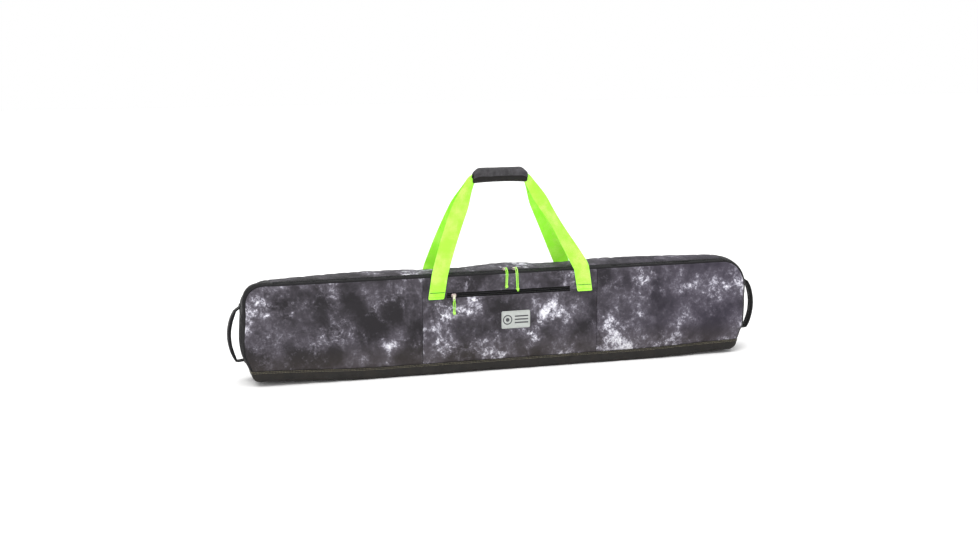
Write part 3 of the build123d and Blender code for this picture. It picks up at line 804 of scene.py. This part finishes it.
# ---------------------------------------------------------------- fabric pieces
def shell_pieces():
    """The bag's outer fabric, panel by panel, each standing for its node and the foam behind it."""
    front = {
        "front_left": ("left_front_cloth", "front_panel_left", (0.3, 0.1, 0.2), 0.0, 0.50),
        "front_right": ("right_front_cloth", "front_panel_right", (1.7, 0.4, 0.6), 0.4, 0.58),
        "pocket": ("pocket_cloth", "pocket_panel", (2.9, 0.0, 1.3), 0.9, 0.56),
        "strip": ("pocket_strip_cloth", "pocket_top_strip", (5.1, 0.0, 0.2), 0.2, 0.60),
        "back": ("back_cloth", "back_panel", (4.1, 2.0, 3.2), 1.2, 0.55),
        "lid": ("lid_cloth", "lid_panel", (3.1, 1.4, 2.2), 0.3, 0.45),
    }
    behind = {"front_left": ["front_foam"], "back": ["back_foam"], "pocket": ["pocket_backing"]}
    for panel, (name, node, shift, turn, amount) in front.items():
        cloth = skin.piece(name, [panel], CLOTH)
        finish = print_fabric(f"cloud_print_{panel}", shift, turn, amount)
        finished(cloth, "lid" if panel == "lid" else "bag_body", finish, node, *behind.get(panel, []),
                 slot="print_fabric", fill=0.6)
    gusset = plain_fabric("gusset_cloth", colour(12, 11, 13), colour(25, 24, 27), sheen=0.0, gloss=0.2)
    boot = plain_fabric("coated_boot_cloth", colour(17, 15, 13), colour(36, 32, 28), rough=0.55, crease=2.2,
                        sheen=0.0, gloss=0.25)
    for panel, name, node, foam, finish, slot in (
            ("end_left", "left_end_cloth", "end_panel_left", ["end_foam_left"], gusset, "gusset_fabric"),
            ("end_right", "right_end_cloth", "end_panel_right", ["end_foam_right"], gusset, "gusset_fabric"),
            ("gusset", "front_gusset_cloth", "front_gusset", [], gusset, "gusset_fabric"),
            ("boot", "boot_cloth", "base_boot", ["base_foam"], boot, "base_fabric")):
        cloth = skin.piece(name, [panel], CLOTH)
        finished(cloth, "bag_body", finish, node, *foam, slot=slot, fill=0.6)


def lining():
    """The tub inside, open under the zipper, and the padded underside of the opening top."""
    finish = plain_fabric("lining_cloth", colour(52, 51, 54), colour(74, 73, 77), rough=0.5, crease=1.2)
    inner = Skin(12 * MM, 24 * MM, False)
    tub = inner.piece("lining_tub", ["front_left", "front_right", "pocket", "strip", "back", "boot",
                                     "end_left", "end_right"], 1.0 * MM, inwards=False)
    finished(tub, "bag_body", finish, "front_lining", "back_lining", "base_lining", "end_linings",
             slot="lining", fill=0.3)
    below, above = low("lid_lining"), high("lid_foam") - Vector((0, 10 * MM, 0))  # short of the hinge
    bm = bmesh.new()
    middle, size = box_between(bm, below, above)
    for axis, count in ((0, 60), (1, 6)):
        for i in range(1, count):
            cut(bm, below + size * (i / count), Vector((axis == 0, axis == 1, 0)))
    rounded(bm, [e for e in bm.edges if e.calc_face_angle(0) > 1], 2.5 * MM, 3)
    for v in bm.verts:
        edge = min(v.co.x - below.x, above.x - v.co.x, v.co.y - below.y, above.y - v.co.y - 10 * MM)
        if v.co.z < middle.z:
            v.co.z = max(v.co.z, HEIGHT - max(3 * MM, 0.30 * (HINGE_Y - v.co.y)))
            v.co.z -= 2.0 * MM * smooth(0, 25 * MM, edge) + 0.8 * MM * noise.noise(v.co * 24)
        over = Vector((v.co.x, v.co.y, HEIGHT))
        v.co += skin.place(over)[0] - over - Vector((0, 0, 1.5 * MM))
    finished(new_piece("lid_padding", bm), "lid", finish, "lid_foam", "lid_lining", slot="lining", fill=0.6)


def on_wall(facing, x, z, lift):
    """A place on the front, where facing is -1, or on the back, where it is 1."""
    return skin.place(Vector((x, facing * HALF_DEPTH, z)), lift)[0]


# ---------------------------------------------------------------- zippers
def teeth_row(name, below, above, body, finish, *nodes):
    """One side of a zipper's coil: a turn of stiff thread at every pitch along a box."""
    pitch = 2.0 * MM
    size = above - below
    bm = bmesh.new()
    middle = Vector((below.x + pitch / 2, (below.y + above.y) / 2, (below.z + above.z) / 2))
    shape = Matrix.Diagonal((pitch * 0.44, size.y / 2, size.z / 2, 1))
    made = bmesh.ops.create_uvsphere(bm, u_segments=6, v_segments=4, radius=1.0,
                                     matrix=Matrix.Translation(middle) @ shape)
    bmesh.ops.spin(bm, geom=made["verts"] + list({e for v in made["verts"] for e in v.link_edges})
                   + list({f for v in made["verts"] for f in v.link_faces}),
                   angle=0, steps=int(size.x / pitch) - 1, dvec=(pitch, 0, 0), use_duplicate=True)
    finished(new_piece(name, bm), body, finish, *nodes, slot="zipper_coil")


def flat_tape(name, below, above, flat_axis, body, finish, *nodes):
    """Zipper tape filling a thin box, rippling a little, its rows running along the bag."""
    across = 2 if flat_axis == 1 else 1
    middle = (below[flat_axis] + above[flat_axis]) / 2
    rows = []
    for place in between(below[across], above[across], 2.5 * MM):
        row = []
        for x in between(below.x, above.x, 12 * MM):
            at = Vector((x, 0, 0))
            at[across] = place
            at[flat_axis] = middle + 0.25 * MM * noise.noise(Vector((x * 30, place * 60, 0)))
            row.append(at)
        rows.append(row)
    made = strip(name, rows, (above[flat_axis] - below[flat_axis]) * 0.8, edge=0.2 * MM)
    finished(made, body, finish, *nodes, slot="zipper_tape")


def zippers():
    """Tapes and teeth of the main and the pocket zipper."""
    # The tape's near-black is partly its own black and partly painted shade, the shadow that the fabric edges cast
    # into the zipper slots.
    tape = plain_fabric("zipper_tape", colour(6, 6, 7), colour(14, 13, 15), rough=0.7, threads=FINE_WEAVE, crease=0.2,
                        sheen=0.0, gloss=0.15)
    coil, n, shader, place = material("zipper_coil", 0.36)
    n.paint(shader, n.mix(n.noise(place, 120.0), colour(8, 8, 9), colour(22, 21, 24)))
    for word, side, body in (("front", "front", "bag_body"), ("top", "lid", "lid")):
        flat_tape(f"{word}_tape", *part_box(f"{side}_zipper_tape"), 2, body, tape, f"{side}_zipper_tape")
    for word, side, body in (("front", "front", "bag_body"), ("top", "lid", "lid")):
        teeth_row(f"{word}_teeth", *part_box(f"{side}_zipper_coil"), body, coil, f"{side}_zipper_coil")
    below, above = POCKET_ZIP
    gap = 0.8 * MM
    flat_tape("pocket_tape_low", below, Vector((above.x, above.y, POCKET_ZIP_Z - gap)), 1, "bag_body", tape,
              "pocket_zipper_tapes")
    flat_tape("pocket_tape_high", Vector((below.x, below.y, POCKET_ZIP_Z + gap)), above, 1, "bag_body", tape)
    below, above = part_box("pocket_zipper_coils")
    width = high("front_zipper_coil").y - low("front_zipper_coil").y
    teeth_row("pocket_teeth_low", below, Vector((above.x, above.y, below.z + width)), "bag_body", coil,
              "pocket_zipper_coils")
    teeth_row("pocket_teeth_high", Vector((below.x, below.y, above.z - width)), above, "bag_body", coil)


# ---------------------------------------------------------------- straps
def leg_line(side, x_top, bow):
    """A strap leg's middle line from the bag's top edge to the grip, seen from the front, as (x, z, share)."""
    start = Vector((side * x_top, STRAP_HINGE_Z))
    end = Vector((GRIP_MIDDLE.x + side * (GRIP_HIGH.x - GRIP_MIDDLE.x + 2 * MM), GRIP_STRAP_Z))
    bend = Vector(((start.x + end.x) / 2 + side * bow, (start.y + end.y) / 2 + 20 * MM))
    line = []
    for t in between(0.0, 1.0, 1 / 26):
        at = start * (1 - t) ** 2 + bend * 2 * t * (1 - t) + end * t * t
        line.append((at.x, at.y, t))
    return line


def strap(name, side, facing, x_top, bow, twist, bends, finish, *nodes):
    """One end of a strap: sewn flat to the panel, rising to the grip and gathered into it; bends is not used."""
    sewn = [(side * (STRAP_FOOT_X + (x_top - STRAP_FOOT_X) * t), STRAP_FOOT_Z + (STRAP_HINGE_Z - STRAP_FOOT_Z) * t)
            for t in between(0.0, 1.0, 1 / 9)[:-1]]
    middles = []
    for x, z in sewn:
        lie = on_wall(facing, x, z, 1.5 * MM).y * facing
        middles.append((Vector((x, max(lie, HALF_DEPTH + 1.2 * MM) * facing, z)), 0.0, 1.0))
    for x, z, t in leg_line(side, x_top, bow):
        out = STRAP_Y + (STRAP_Y_TOP - STRAP_Y) * (z - STRAP_HINGE_Z) / (GRIP_STRAP_Z - STRAP_HINGE_Z)
        middles.append((Vector((x, facing * out, z)), t, 1 - 0.46 * smooth(0.66, 1.0, t)))
    for i in range(1, 4):                         # and on inside the grip
        middles.append((middles[-1][0] + Vector((-side * 9 * MM, 0, 3.5 * MM)), 1.0, 0.54))
    rows = []
    for i, (at, t, wide) in enumerate(middles):
        along = (middles[min(i + 1, len(middles) - 1)][0] - middles[max(i - 1, 0)][0]).normalized()
        out = Vector((0, facing, 0))
        out = (out - along * out.dot(along)).normalized()
        across = along.cross(out).normalized()
        square = Vector((math.copysign(1, across.x), 0, 0))
        share = smooth(STRAP_FOOT_Z + 10 * MM, STRAP_HINGE_Z + 20 * MM, at.z)
        across = (square * (1 - share) + across * share).normalized()
        angle = math.radians(twist) * math.sin(math.pi * min(1.0, t * 1.1)) if t > 0 else 0.0
        across = across * math.cos(angle) + out * math.sin(angle)
        out = along.cross(across).normalized()
        if out.y * facing < 0:
            out = -out
        row = []
        for u in between(-1.0, 1.0, 0.25):
            lift = 5.5 * MM * smooth(0.70, 1.0, t) * (0.5 - u * u)
            lift += 1.3 * MM * noise.noise(at * 14 + Vector((u, 0, side))) * smooth(0.04, 0.3, t)
            lift += 1.2 * MM * u * math.sin(6.5 * t + side) * smooth(0.05, 0.3, t) * (1 - smooth(0.8, 1.0, t))
            place = at + across * u * WEBBING / 2 * wide + out * lift
            if t == 0 and at.z < STRAP_HINGE_Z - 8 * MM:
                lie = on_wall(facing, place.x, place.z, 1.5 * MM)
                place.y = lie.y if at.z < STRAP_HINGE_Z - 26 * MM else (lie.y + place.y) / 2
            row.append(place)
        rows.append(row)
    made = strip(name, rows, 2.0 * MM, edge=0.6 * MM)
    dressed(made, finish, *nodes, slot="green_webbing")
    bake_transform(made)


def straps():
    """Both neon straps, each in two ends, with the bar tacks on their feet."""
    # The last number, 0.16, is painted glow that brightens the straps where they lie in shade.
    green = webbing("green_webbing", colour(142, 244, 30), colour(212, 250, 124), 0.16)
    hinge = STRAP_HINGE_Z
    for side, word, bow, twist in ((-1, "left", 7 * MM, 6), (1, "right", -6 * MM, -34)):
        shared = side < 0                         # the left ends stand for the parts that both ends share
        strap(f"front_strap_{word}", side, -1, STRAP_X_TOP, bow, twist, (hinge - 4 * MM, GRIP_LOW.z + 8 * MM), green,
              f"front_strap_foot_{word}", f"front_strap_leg_{word}", *["front_strap_middle"] * shared)
        strap(f"back_strap_{word}", side, 1, STRAP_X_TOP - 14 * MM, bow, -twist / 2,
              (hinge - 9 * MM, hinge + 15 * MM), green, f"back_strap_foot_{word}", *["back_strap"] * shared)
    thread = thread_material("green_thread", colour(34, 58, 14))
    bars = []
    for side in (-1, 1):
        for height in (7 * MM, 20 * MM, 21.2 * MM):
            x = side * (STRAP_FOOT_X + (STRAP_X_TOP - STRAP_FOOT_X) * height / (hinge - STRAP_FOOT_Z))
            bars += [[Vector((x + 23 * MM * u, y, STRAP_FOOT_Z + height)) for u in (-1, 1)]
                     for y in (-HALF_DEPTH, HALF_DEPTH)]
    stitches("strap_bar_tacks", bars, thread, lay=lambda at: skin.place(at, 3.3 * MM), pitch=1.7 * MM, long=2.6 * MM,
             thick=1.0 * MM)


def webbing(name, dark, light, painted_glow=0.0):
    """Close-ribbed webbing: fine ribs in the dye's two tones; the last argument is painted glow, an emission in the
    dye's dark tone that brightens the webbing where it lies in shade.
    """
    made, n, shader, place = material(name, 0.6, sheen=0.05, gloss=0.2)
    weave = effect(n, "weave", {"Vector": place, "Threads": 3000.0})
    dust = effect(n, "dust", {"Vector": place, "Scale": 22.0})
    ribs = n.ramp(weave["Height"], -0.7, 0.6)
    n.paint(shader, n.mix(n.times(ribs, n.sum(dust["Mask"], 0.35), clamp=True), dark, light))
    # Painted glow: the webbing gives off light in its dark dye colour, which brightens it in shade.
    shader.inputs["Emission Color"].default_value = dark
    shader.inputs["Emission Strength"].default_value = painted_glow
    bump(n, shader, weave["Height"], 0.35 * MM)
    return made


def thread_material(name, shade):
    made, n, shader, place = material(name, 0.5, sheen=0.2)
    n.paint(shader, n.mix(n.noise(place, 160.0), tuple(c * 0.75 for c in shade[:3]) + (1,), shade))
    return made


# ---------------------------------------------------------------- grip
def soft_block(name, below, above, radius, cuts, crumple):
    """A padded block: a box with round long edges and a slightly crumpled skin."""
    bm = bmesh.new()
    middle, size = box_between(bm, below, above)
    rounded(bm, [e for e in bm.edges if abs(e.verts[0].co.x - e.verts[1].co.x) > size.x / 2], radius, 7)
    ends = [d * MM for d in (0.6, 1.6, 3.2, 5.5)]
    for mark in [size.x * i / cuts for i in range(1, cuts)] + ends + [size.x - d for d in ends]:
        cut(bm, (below.x + mark, 0, 0), (1, 0, 0))
    for share in (0.3, 0.5, 0.7):
        cut(bm, below + size * share, (0, 0, 1))
    for v in bm.verts:
        near = min(1.0, min(v.co.x - below.x, above.x - v.co.x) / (7 * MM))
        drawn = 0.76 + 0.24 * math.sqrt(max(0.0, 1 - (1 - near) ** 2))
        v.co.y = middle.y + (v.co.y - middle.y) * drawn
        v.co.z = middle.z + (v.co.z - middle.z) * drawn
    bm.normal_update()
    for v in bm.verts:
        v.co = crumpled(v.co, v.normal, crumple)
    return new_piece(name, bm)


def crumpled(at, out, depth):
    """A point of the grip's skin after use: narrower in the middle, with soft dents."""
    share = abs(at.x - GRIP_MIDDLE.x) / (GRIP_HIGH.x - GRIP_MIDDLE.x)
    wave = noise.noise(at * 34) * 0.9 + noise.noise(at * 80) * 0.35
    up = (at.z - GRIP_LOW.z) / (GRIP_HIGH.z - GRIP_LOW.z)
    shoulder = -15 * MM * smooth(0.74, 1.02, share) ** 1.5 * max(0.0, up)
    hollow = 3.5 * MM * (1 - share * share) * (1 - smooth(0.0, 0.6, up))
    return at + out * depth * wave + Vector((0, 0, shoulder + hollow))


def grip():
    """The padded sleeve round both straps, and the flap that closes it."""
    inner = plain_fabric("grip_cloth", colour(13, 11, 10), colour(30, 26, 24), rough=0.55, threads=FINE_WEAVE,
                         crease=1.4, gloss=0.25, sheen=0.0)
    # Painted highlight: the flap's light tone (78, 76, 80), laid in patches, stands for sheen where light falls on
    # the grip's top, and the sleeve's darker cloth below is partly painted shade on the grip's lower front.
    outer = plain_fabric("grip_flap_cloth", colour(20, 18, 20), colour(78, 76, 80), rough=0.5, threads=FINE_WEAVE,
                         crease=1.6, gloss=0.3, sheen=0.03)
    inset = Vector((0, 0.6 * MM, 0.6 * MM))
    sleeve = smoother(soft_block("grip_sleeve", GRIP_LOW + inset, GRIP_HIGH - inset, 15 * MM, 20, 1.0 * MM))
    finished(sleeve, "carry_handle", inner, "grip_wrap", "grip_pad", "grip_back_layer", slot="grip_fabric", fill=0.7)
    below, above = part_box("grip_flap")
    top, front = above.z - 1.2 * MM, below.y + 1.2 * MM
    round_r = 15 * MM
    section = [(above.y - 1 * MM - s * (above.y - 1 * MM - front - round_r) / 3, top) for s in range(3)]
    section += [(front + round_r * (1 - math.sin(a)), top - round_r * (1 - math.cos(a)))
                for a in [math.radians(d) for d in range(0, 91, 15)]]
    section += [(front, top - round_r - (top - round_r - below.z) * s / 4) for s in range(1, 5)]
    rows = []
    for i, (y, z) in enumerate(section):
        row = []
        for x in between(below.x, above.x, 8 * MM):
            at = Vector((x, y, z))
            normal = Vector((0, y - GRIP_MIDDLE.y, z - (GRIP_MIDDLE.z + 6 * MM))).normalized()
            place = crumpled(at, normal, 1.0 * MM)
            if i == len(section) - 1:
                place.z += 1.6 * MM * noise.noise(Vector((x * 26, 0, 5)))
            row.append(place)
        rows.append(row)
    flap = strip("grip_flap_cloth", rows, 2.0 * MM, edge=0.6 * MM)
    finished(flap, "grip_cover", outer, "grip_flap", slot="grip_fabric", fill=0.4)
    edge = [p + Vector((0, -1.3 * MM, 3.2 * MM)) for p in rows[-1]]
    stitches("grip_flap_stitches", [edge], thread_material("grip_thread", colour(48, 46, 50)), body="grip_cover",
             lay=lambda at: (at, Vector((0, -1, 0))), pitch=3.6 * MM, long=2.5 * MM)
    corner = Vector((GRIP_LOW.x - 4 * MM, below.y + 9 * MM, below.z - 4 * MM))
    tag = [[corner + Vector((u, 0, v)) * MM for u in (0, 4, 8, 12)] for v in (0, 3, 6, 9)]
    finished(strip("grip_tag", tag, 1.2 * MM, edge=0.3 * MM), "carry_handle",
             plain_fabric("tag_cloth", colour(9, 9, 10), colour(18, 18, 20), gloss=0.2))


# ---------------------------------------------------------------- grab loops
def grab_loops():
    """The padded loop on each end, its two necks sewn to the end panel."""
    seam = thread_material("grab_thread", colour(40, 39, 42))
    black = webbing("black_webbing", colour(9, 9, 10), colour(26, 25, 28))
    for side, word in ((-1, "left"), (1, "right")):
        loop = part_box(f"grab_loop_{word}")
        reach = loop[1].x if side > 0 else -loop[0].x
        near = loop[0].x if side > 0 else -loop[1].x
        half = (loop[1].y - loop[0].y) / 2
        thick = 10 * MM
        top, foot = loop[1].z, loop[0].z
        start, furthest, end = [Vector(c) for c in ((near + thick * 0.55, top), (reach - thick / 2, (top + foot) / 2),
                                                    (near + thick * 0.5, foot))]
        steps = 30
        line = []
        for i in range(steps + 1):
            t = i / steps
            bow = 1 - (2 * t - 1) ** 2
            base = start.x + (end.x - start.x) * t
            line.append(Vector((base + (furthest.x - (start.x + end.x) / 2) * bow, 0, top + (foot - top) * t)))
        finished(bent_pad(f"grab_pad_{word}", line, side, half - 0.8 * MM, thick), f"{word}_grab", black,
                 f"grab_loop_{word}", f"grab_ends_{word}", slot="black_webbing", fill=0.7)
        edges = [[Vector((side * (p.x + thick / 2 + 0.2 * MM), u * (half - 5 * MM), p.z)) for p in line[4:-4]]
                 for u in (-1, 1)]
        stitches(f"grab_stitches_{word}", edges, seam, body=f"{word}_grab",
                 lay=lambda at: (at, Vector((side, 0, 0))), pitch=4 * MM, long=3 * MM)
        for part, inside, away in (("upper", line[:4], 1), ("lower", line[:-5:-1], -1)):
            path = []
            for lift in (20, 16, 12, 8):
                on = skin.place(Vector((side * HALF_LENGTH, 0, inside[0].z + away * lift * MM)), 1.5 * MM)[0]
                path.append(Vector((on.x, 0, on.z)))
            path += [Vector((side * (p.x - 0.6 * MM), 0, p.z)) for p in inside]
            rows = [[p + Vector((0, u * (half - 1.5 * MM), 0)) for u in between(-1.0, 1.0, 0.34)] for p in path]
            neck = strip(f"grab_{part}_end_{word}", rows, 3.6 * MM, level=2, edge=0.8 * MM)
            dressed(neck, black, *(["grab_tabs"] if side < 0 and away > 0 else []), slot="black_webbing")
            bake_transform(neck)
            bars = [[Vector((side * HALF_LENGTH, u * (half - 4 * MM), inside[0].z + away * lift * MM))
                     for u in (-1, 1)] for lift in (18, 15, 12)]
            stitches(f"grab_{part}_bar_tacks_{word}", bars, seam, lay=lambda at: skin.place(at, 3.6 * MM),
                     pitch=1.8 * MM, long=2.2 * MM, thick=0.8 * MM)


def bent_pad(name, line, side, half, thick):
    """A padded webbing loop: a soft bar bent along a line, thinner at both ends."""
    bm = bmesh.new()
    bmesh.ops.create_cube(bm, size=1.0, matrix=Matrix.Diagonal((thick, 2 * half, 1, 1)))
    rounded(bm, [e for e in bm.edges if abs(e.verts[0].co.z - e.verts[1].co.z) > 0.5], thick * 0.42, 5)
    for i in range(1, 40):
        cut(bm, (0, 0, 0.5 - i / 40), (0, 0, 1))
    for v in bm.verts:
        t = (0.5 - v.co.z) * (len(line) - 1)
        i = min(int(t), len(line) - 2)
        along = (line[i + 1] - line[i]).normalized()
        ahead = (line[min(i + 2, len(line) - 1)] - line[min(i + 1, len(line) - 2)]).normalized()
        along = along.lerp(ahead, t - i).normalized()
        out = Vector((-along.z, 0, along.x))
        share = t / (len(line) - 1)
        full = 0.62 + 0.38 * min(1.0, smooth(-0.02, 0.14, share), smooth(-0.02, 0.14, 1 - share))
        at = line[i].lerp(line[i + 1], t - i) + out * v.co.x * full + Vector((0, v.co.y * (0.94 + 0.06 * full), 0))
        at += out * 0.5 * MM * noise.noise(at * 45)
        v.co = Vector((side * at.x, at.y, at.z))
    bmesh.ops.recalc_face_normals(bm, faces=bm.faces[:])
    return smoother(new_piece(name, bm))


# ---------------------------------------------------------------- patch and sewing
def patch():
    """The woven patch: a ring round a dot, and three bars."""
    below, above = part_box("front_patch")
    inset = 2 * MM
    rows = [[on_wall(-1, x, z, 0.8 * MM) for x in between(below.x + inset, above.x - inset, 6 * MM)]
            for z in between(below.z + inset, above.z - inset, 6 * MM)]
    made = strip("front_patch_cloth", rows, 1.3 * MM, edge=0.4 * MM)
    centre = (below + above) / 2
    finish, n, shader, place = material("woven_patch", 0.5, sheen=0.1, gloss=0.4)
    from_centre = n.add("VectorMath", {0: place, 1: tuple(centre)}, operation="SUBTRACT").outputs[0]
    local = n.add("SeparateXYZ", {0: from_centre}).outputs
    flat = n.add("CombineXYZ", {0: n.maths("ADD", local[0], 27 * MM), 1: local[2], 2: 0.0}).outputs[0]
    away = n.add("VectorMath", {0: flat}, operation="LENGTH").outputs["Value"]
    ring = n.times(n.ramp(away, 15.6 * MM, 15.0 * MM), n.ramp(away, 11.4 * MM, 12.0 * MM))
    dot = n.ramp(away, 6.4 * MM, 5.8 * MM)
    right = n.times(n.ramp(local[0], -4 * MM, -3.4 * MM), n.ramp(local[0], 40.4 * MM, 39.8 * MM))
    mark = n.maths("MAXIMUM", ring, dot)
    for height in (10 * MM, 0.0, -10 * MM):
        bar = n.ramp(n.maths("ABSOLUTE", n.less(local[2], height)), 2.5 * MM, 1.9 * MM)
        mark = n.maths("MAXIMUM", mark, n.times(bar, right))
    ground = n.mix(n.noise(place, 90.0, 4.0), colour(148, 152, 148), colour(182, 185, 182))
    n.paint(shader, n.mix(mark, ground, colour(58, 58, 62)))
    weave = effect(n, "weave", {"Vector": place, "Threads": 4200.0})
    bump(n, shader, n.sum(n.times(weave["Height"], 0.2), n.times(mark, 0.5)), 0.5 * MM)
    finished(made, "bag_body", finish, "front_patch", slot="patch")
    rim = 4.5 * MM
    left, right, foot, top = below.x + rim, above.x - rim, below.z + rim, above.z - rim
    corners = ((left, foot), (right, foot), (right, top), (left, top), (left, foot))
    stitches("patch_stitches", [front_line(*corners)], thread_material("patch_thread", colour(120, 122, 120)),
             lay=lambda at: skin.place(at, 1.6 * MM), pitch=3.2 * MM, long=2.4 * MM)


def front_line(*places):
    """A line along the front, through these x and z."""
    return [Vector((x, -HALF_DEPTH, z)) for x, z in places]


def around_base(z):
    """A line round the bag at one height, as it was cut."""
    reach = HALF_LENGTH - TUCK * (1 - z / TUCK_Z)
    line = []
    for turn, (x, y) in enumerate(((1, -1), (1, 1), (-1, 1), (-1, -1))):
        centre = Vector((x * (reach - EDGE_R), y * (HALF_DEPTH - EDGE_R), z))
        for step in range(7):
            angle = math.radians(-90 + 90 * turn + step * 15)
            line.append(centre + Vector((math.cos(angle), math.sin(angle), 0)) * EDGE_R)
    return line + [line[0]]


def sewing():
    """Rows of stitches along the boot, the front seams and both zippers."""
    olive = thread_material("olive_thread", colour(138, 130, 104))
    grey = thread_material("grey_thread", colour(92, 89, 98))
    base = [around_base(BOOT_Z - 2.6 * MM), around_base(BOOT_Z - 6.4 * MM)]
    stitches("boot_stitches", base, olive, pitch=4.6 * MM, long=3.4 * MM, thick=0.9 * MM)
    beside = 2.4 * MM                             # from a zipper's slot to the row of stitches
    xs = POCKET_ZIP[0].x - 3 * MM, POCKET_ZIP[1].x + 3 * MM
    zs = POCKET_ZIP_Z - SLOT_HALF - beside, POCKET_ZIP_Z + SLOT_HALF + beside
    lines = [front_line((x, BOOT_Z + 3 * MM), (x, HEIGHT - EDGE_R)) for x in (-SEAM_X - 4.5 * MM, SEAM_X + 4.5 * MM)]
    lines += [front_line((xs[0], z), (xs[1], z)) for z in zs] + [front_line((x, zs[0]), (x, zs[1])) for x in xs]
    stitches("front_stitches", lines, grey, pitch=3.6 * MM, long=2.6 * MM, thick=0.55 * MM)
    black = thread_material("black_thread", colour(38, 37, 40))
    for name, y, body in (("gusset_stitches", GUSSET_BACK_Y - beside, "bag_body"),
                          ("top_stitches", LID_FRONT_Y + beside, "lid")):
        line = [Vector((x, y, HEIGHT)) for x in (-LID_HALF + 4 * MM, LID_HALF - 4 * MM)]
        stitches(name, [line], black, body=body, pitch=3.6 * MM, long=2.6 * MM)


# ---------------------------------------------------------------- metal
def metal(name, dark, light, rough):
    made, n, shader, place = material(name, rough, metal=1.0)
    worn = n.noise(place, 260.0, 4.0, 0.6)
    n.paint(shader, n.mix(worn, dark, light))
    n.set(shader.inputs["Roughness"], n.ramp(worn, 0.2, 0.8, rough - 0.06, rough + 0.10))
    bump(n, shader, n.noise(place, 900.0, 2.0), 0.04 * MM)
    return made


def hardware():
    """Metal finishes for the pieces that are shown as the CAD made them."""
    nickel = metal("slider_metal", colour(176, 158, 156), colour(214, 200, 198), 0.30)
    pale = metal("tab_metal", colour(196, 194, 168), colour(226, 224, 202), 0.34)
    dark = metal("stop_metal", colour(36, 35, 37), colour(58, 56, 58), 0.4)
    for names, finish in ((("slider_left", "slider_right", "pocket_slider"), nickel), (("zipper_end_stops",), dark),
                          (("pull_tab_left", "pull_tab_right", "pocket_pull_tab"), pale)):
        for name in names:
            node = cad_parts[name]
            node.data.materials.clear()
            node.data.materials.append(finish)


# ---------------------------------------------------------------- the bag
camera()
# The last number, 0.10, is painted glow that brightens the pull cords.
pull_cords(webbing("green_cord", colour(158, 240, 58), colour(214, 252, 140), 0.10))
studio()
skin = Skin(0.0, 10 * MM, True)
shell_pieces()
lining()
zippers()
straps()
grip()
grab_loops()
patch()
sewing()
hardware()
